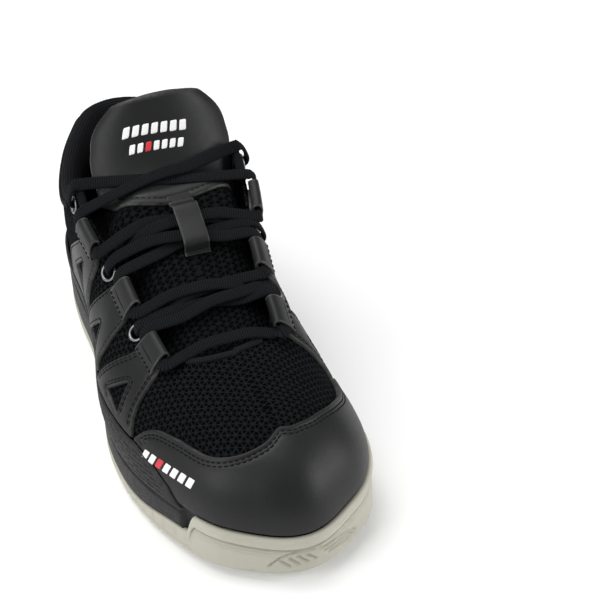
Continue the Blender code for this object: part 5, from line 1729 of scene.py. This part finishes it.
def make_marks():
    """Plain slanted bars printed on the tongue patch and on the toe cap."""
    def printed(name, outline_points, locate, rise, finish, blend=None):
        plate(name, [outline_points], locate, 0.6,
              lambda flat, d, base: rise + 0.10 * np.clip(d / 0.3, 0, 1),
              rise - 0.25, finish, "leather", insets=(0.3,), blend=blend)

    bars = [(52.4 - 0.18 * i, -17.2 + 4.25 * i, 3.0, 2.6, WHITE) for i in range(7)]
    bars += [(48.0 - 0.16 * i, -14.8 + 3.55 * i, 2.5, 2.4, RED if i == 2 else WHITE)
             for i in range(7)]
    for number, (u, v, length, height, finish) in enumerate(bars, 1):
        printed(f"tongue_mark_{number}", bar(u, v, length, height, 0.9), tongue_chart, 1.55,
                finish, FLEX)
    locate = wrap_chart("toe")
    for number in range(7):
        along = -81.5 + 4.95 * number
        shape = bar(11.0 + 0.05 * (along + 81.5), along, 3.5, 4.5, 1.2)[:, ::-1]
        printed(f"toe_mark_{number + 1}", shape, locate, 1.8, RED if number == 2 else WHITE)


# --- lace -----------------------------------------------------------------------------------
FLAT_LACE = (6.2, 1.75)  # width and thickness


def way(point, normal, size=FLAT_LACE):
    """One stop of the lace's route: a point, the lace's upward direction, and its size there."""
    return np.concatenate([point, normal / np.linalg.norm(normal), size])


def across_tongue(side_from, v_from, v_to, rise, stops=(-0.3, 0.0, 0.3)):
    """Lace over the tongue from one side to the other, raised where it crosses another."""
    out = []
    for h in stops:
        v = v_from + (v_to - v_from) * (h + 0.5)
        outer, normal = tongue_at(np.array([v]), np.array([-h * side_from]))
        lift = LACE_REST + rise * (1 - (2 * abs(h)) ** 2)
        out.append(way(outer[0] + normal[0] * lift, normal[0]))
    return out


def through_loop(side, place):
    """Lace through a loop from front to back, a little slimmer inside it."""
    here, normal, back, inward = frame_at(side, *place, LEATHER_HIGH + 2.55)
    here, half = here + inward * 0.6, LOOP_LENGTH / 2
    slim = (6.0, 1.75)
    return [way(here - back * (half + 3.5) + inward * 3.0, normal),
            way(here - back * half, normal, slim), way(here + back * half, normal, slim),
            way(here + back * (half + 3.5) + inward * 3.0, normal)]


def through_eyelet(side, place):
    """Lace over the throat's edge and down through an eyelet, gathered as it turns."""
    _, normal, _, inward = frame_at(side, *place)
    route = [way(p, normal, size) for p, size in
             zip(over_edge(side, place, ((2.5, 2.3), (-1.0, 3.3))), ((6.0, 1.8), (5.8, 1.85)))]
    for shift, depth, n, i, size in ((2.4, 3.2, 0.8, -0.5, (5.5, 1.9)),
                                     (0.3, 1.5, 0.25, -1.0, (5.2, 2.0)),
                                     (0.0, -1.4, 0.0, -1.0, (5.0, 2.0)),
                                     (0.9, -3.3, -0.7, -0.5, (5.2, 1.9))):
        route.append(way(on_upper(side, place, shift, depth), normal * n + inward * i, size))
    return route


def half_lace(side, rises):
    """One end's route: loops on its own side, eyelets on the other, then the tail inside."""
    route = []
    for i in range(3):
        loop, eyelet = LOOPS[side][i], EYELETS[-side][i]
        route += through_loop(side, loop)
        route += across_tongue(side, loop[0] + 9, min(eyelet[0], LACE_REAR), rises[i])
        route += through_eyelet(-side, eyelet)
        if i < 2:
            _, normal, _, _ = frame_at(-side, *eyelet)
            route += [way(p, -normal, (5.6, 1.8)) for p in
                      over_edge(-side, eyelet, ((-3.0, -3.7), (1.5, -3.8)))]
            route += across_tongue(-side, eyelet[0] + 2, LOOPS[side][i + 1][0] - 10, rises[i],
                                   (-0.5, -0.25, 0.0, 0.3))
    at = chart(-side, TAIL[-side])
    base, normal = lasted(at[:, 0], at[:, 1])
    sizes = ((4.2, 2.0), (4.2, 1.9), (3.6, 1.9), (2.3, 2.2))
    return route + [way(b - n * TAIL_DEPTH, n, size) for b, n, size in zip(base, normal, sizes)]


# Distance along an aglet and its radius there, with two crimps; scaled to the aglet's size
AGLET_PROFILE = (
    (0, 0.6), (0.1, 0.95), (0.3, 1.15), (0.6, 1.25), (3, 1.2), (6, 1.16), (8, 1.2), (11, 1.16),
    (14, 1.2), (17, 1.18), (19, 1.15), (20.4, 1.0), (21.2, 0.75), (21.6, 0.4),
)


def make_lace():
    """One flat woven lace from aglet to aglet, and its two aglets."""
    over, under = half_lace(-1, LACE_OVER), half_lace(1, LACE_UNDER)
    across = []
    for h in (-0.5, -0.25, 0.0, 0.25, 0.5):
        outer, normal = tongue_at(np.array([LOOPS[-1][0][0] - 10.0]), np.array([h]))
        across.append(way(outer[0] + normal[0] * (LACE_REST + BAR_RISE + 2 * abs(h)), normal[0]))
    stops = np.array(over[::-1] + across + under)
    for i in range(1, len(stops)):
        if stops[i, 3:6].dot(stops[i - 1, 3:6]) < 0:
            stops[i, 3:6] *= -1
    path = fine_curve(stops, 0.36)
    place, normal, size = path[:, :3], path[:, 3:6], path[:, 6:8]
    shape = oval(1.0, 1.0, 18, 2.9)

    def section(i, share, run):
        rib = 1 + 0.045 * math.cos(run / 1.35 * 2 * math.pi)
        return shape * size[i] * [rib ** 0.4, rib]

    sweep("lace_cord", place, normal, section, LACE_WEAVE, "lace", ["lace"],
          weave_scale=15.5)
    for number, route in ((1, over), (2, under)):
        end, before = route[-1][:3], route[-2][:3]
        along = (end - before) / np.linalg.norm(end - before)
        steps, radii = np.array(AGLET_PROFILE).T
        steps, radii = steps * (AGLET_LENGTH / steps[-1]), radii * (AGLET_RADIUS / radii.max())
        centres = end + along * (0.4 + steps[:, None])
        sweep(f"aglet_tip_{number}", centres, np.array([[0, 0, 1.0]] * len(centres)),
              lambda i, share, run, radii=radii: oval(2 * radii[i], 2 * radii[i], 20, 2.0),
              PLASTIC, "aglet", [f"aglet_{number}"])


def fine_curve(stops, step):
    """Catmull-Rom curve through rows of point, normal and size, in even steps."""
    p = np.vstack([2 * stops[0] - stops[1], stops, 2 * stops[-1] - stops[-2]])
    out = []
    for a, b, c, d in zip(p, p[1:], p[2:], p[3:]):
        gap = max(np.linalg.norm((c - b)[:3]), 0.4)
        gap0, gap1 = (max(np.linalg.norm((y - x)[:3]), 0.4) for x, y in ((a, b), (c, d)))
        slope0 = ((b - a) / gap0 * gap + (c - b)) / (1 + gap / gap0)
        slope1 = ((d - c) / gap1 * gap + (c - b)) / (1 + gap / gap1)
        s = np.linspace(0, 1, 25)[:-1, None]
        out.append((1 + 2 * s) * (1 - s) ** 2 * b + s * (1 - s) ** 2 * slope0
                   + s * s * (3 - 2 * s) * c + s * s * (s - 1) * slope1)
    line = np.vstack(out + [stops[-1:]])
    runs = run_along(line[:, :3])
    at = np.linspace(0, runs[-1], int(runs[-1] / step))
    return np.column_stack([np.interp(at, runs, line[:, c]) for c in range(line.shape[1])])


def make_keeper():
    """Strap on the tongue that holds two crossings of the lace."""
    profile = ((-6.4, 0.6), (-4.6, 0.9), (-4.0, 3.0), (-3.4, 5.6), (-2.0, 6.9), (2.0, 7.2),
               (8.0, 7.1), (14.5, 6.9), (16.4, 5.4), (17.8, 2.4), (19.2, 0.9), (21.0, 0.6),
               (23.4, 0.6))
    line = curve_walk(profile, 0.35)
    outer, normal = tongue_at(line[:, 0], np.full(len(line), 0.03))
    nearby, _ = tongue_at(line[:, 0], np.full(len(line), 0.06))
    centres = outer + normal * (line[:, 1:] + 0.5)
    across = nearby - outer
    ups = np.cross(np.gradient(centres, axis=0), across)
    ups *= np.sign((ups * normal).sum(1).mean())
    sweep("keeper_strap", centres, ups, lambda i, share, run: oval(12.6, 1.25, 30, 5.0),
          STRAP, "leather", ["lace_keeper"])
    places = []
    for v in (-5.4, 20.8):
        at_v, up = tongue_at(np.full(4, v), np.linspace(-0.09, 0.15, 4))
        places += [(p + n * 1.55, at_v[-1] - at_v[0], n) for p, n in zip(at_v, up)]
    stitching("keeper_stitching", places)


# --- the scene ------------------------------------------------------------------------------
def dress_hidden_parts():
    """Finishes of the frame's own parts that stay in the model, inside the shoe."""
    for name, finish in (("shank", STEEL), ("lasting_board", BOARD), ("toe_puff", STIFF),
                         ("heel_counter", STIFF)):
        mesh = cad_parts[name].data
        mesh.materials.clear()
        mesh.materials.append(finish)


# Name, place in metres, the point it faces, width in metres and power in watts
LIGHTS = (
    ("soft_top", (-0.22, 0.35, 1.3), (0, 0, 0.03), 1.1, 15.0),
    ("soft_left", (-1.0, -0.35, 0.65), (0, 0, 0.05), 0.7, 7.0),
    ("soft_right", (0.9, -0.55, 0.4), (0, 0, 0.05), 0.5, 6.0),
)
FLOOR_GLOW, STUDIO_STRENGTH = 0.12, 0.22
FLOOR_HALF, FLOOR_Z = 6, -0.0004
CAMERA_PLACE, CAMERA_TARGET = (-132.737, -595.606, 487.175), (54.189, -12.686, 50.0)
CAMERA_ROLL, CAMERA_LENS, CAMERA_SENSOR = -0.06562, 90.62, 36.0


def add_object(name, data):
    obj = bpy.data.objects.new(name, data)
    bpy.context.collection.objects.link(obj)
    return obj


def lay_floor():
    """Pale paper floor, a hair below the sole."""
    f = Finish("floor_paper")
    speckle = f.noise(60.0, 4.0)
    f.done(f.mix(f.band(speckle, 0.3, 0.7), (0.90, 0.90, 0.90), (0.905, 0.905, 0.905)), 0.9,
           f.bump(f.noise(900.0, 3.0), 0.02, 0.3), specular=0.1)
    f.shader.inputs["Emission Color"].default_value = (1.0, 1.0, 1.0, 1)
    f.shader.inputs["Emission Strength"].default_value = FLOOR_GLOW
    mesh = bpy.data.meshes.new("floor")
    half = FLOOR_HALF
    mesh.from_pydata([(-half, -half, 0), (half, -half, 0), (half, half, 0), (-half, half, 0)],
                     [], [(0, 1, 2, 3)])
    mesh.materials.append(f.material)
    floor = add_object("floor", mesh)
    floor.location.z = FLOOR_Z


def light_studio():
    """White surroundings and three soft square lights."""
    world = bpy.data.worlds.new("studio")
    world.use_nodes = True
    background = world.node_tree.nodes["Background"]
    background.inputs["Color"].default_value = (1.0, 1.0, 1.0, 1)
    background.inputs["Strength"].default_value = STUDIO_STRENGTH
    bpy.context.scene.world = world
    for name, place, target, size, power in LIGHTS:
        light = bpy.data.lights.new(name, "AREA")
        light.shape, light.size, light.energy = "SQUARE", size, power
        obj = add_object(name, light)
        obj.location = place
        away = Vector(place) - Vector(target)
        obj.rotation_euler = away.to_track_quat("Z", "Y").to_euler()


def aim_camera():
    """Camera in front of the shoe on its lateral side, looking down at it."""
    camera = bpy.data.cameras.new("camera")
    camera.sensor_width, camera.lens = CAMERA_SENSOR, CAMERA_LENS
    camera.clip_start, camera.clip_end = 0.05, 20.0
    place, target = np.array(CAMERA_PLACE), np.array(CAMERA_TARGET)
    ahead = (target - place) / np.linalg.norm(target - place)
    right = np.cross(ahead, (0, 0, 1))
    right /= np.linalg.norm(right)
    up = np.cross(right, ahead)
    c, s = math.cos(CAMERA_ROLL), math.sin(CAMERA_ROLL)
    right, up = c * right + s * up, c * up - s * right
    matrix = Matrix.Identity(4)
    for column, axis in enumerate((right, up, -ahead, place * MM)):
        for row in range(3):
            matrix[row][column] = axis[row]
    obj = add_object("camera", camera)
    obj.matrix_world = matrix
    bpy.context.scene.camera = obj


def set_stage():
    bpy.context.scene.view_settings.view_transform = "Standard"
    lay_floor()
    light_studio()
    aim_camera()


def main():
    make_outsole()
    make_midsole()
    make_insole()
    make_vamp()
    for side, word in SIDES:
        make_quarter(side, word)
    make_toe_cap()
    make_overlays()
    make_heel_panel()
    make_lace_fittings()
    make_collar()
    make_throat_binding()
    make_tongue()
    make_marks()
    make_lace()
    make_keeper()
    dress_hidden_parts()
    set_stage()


main()
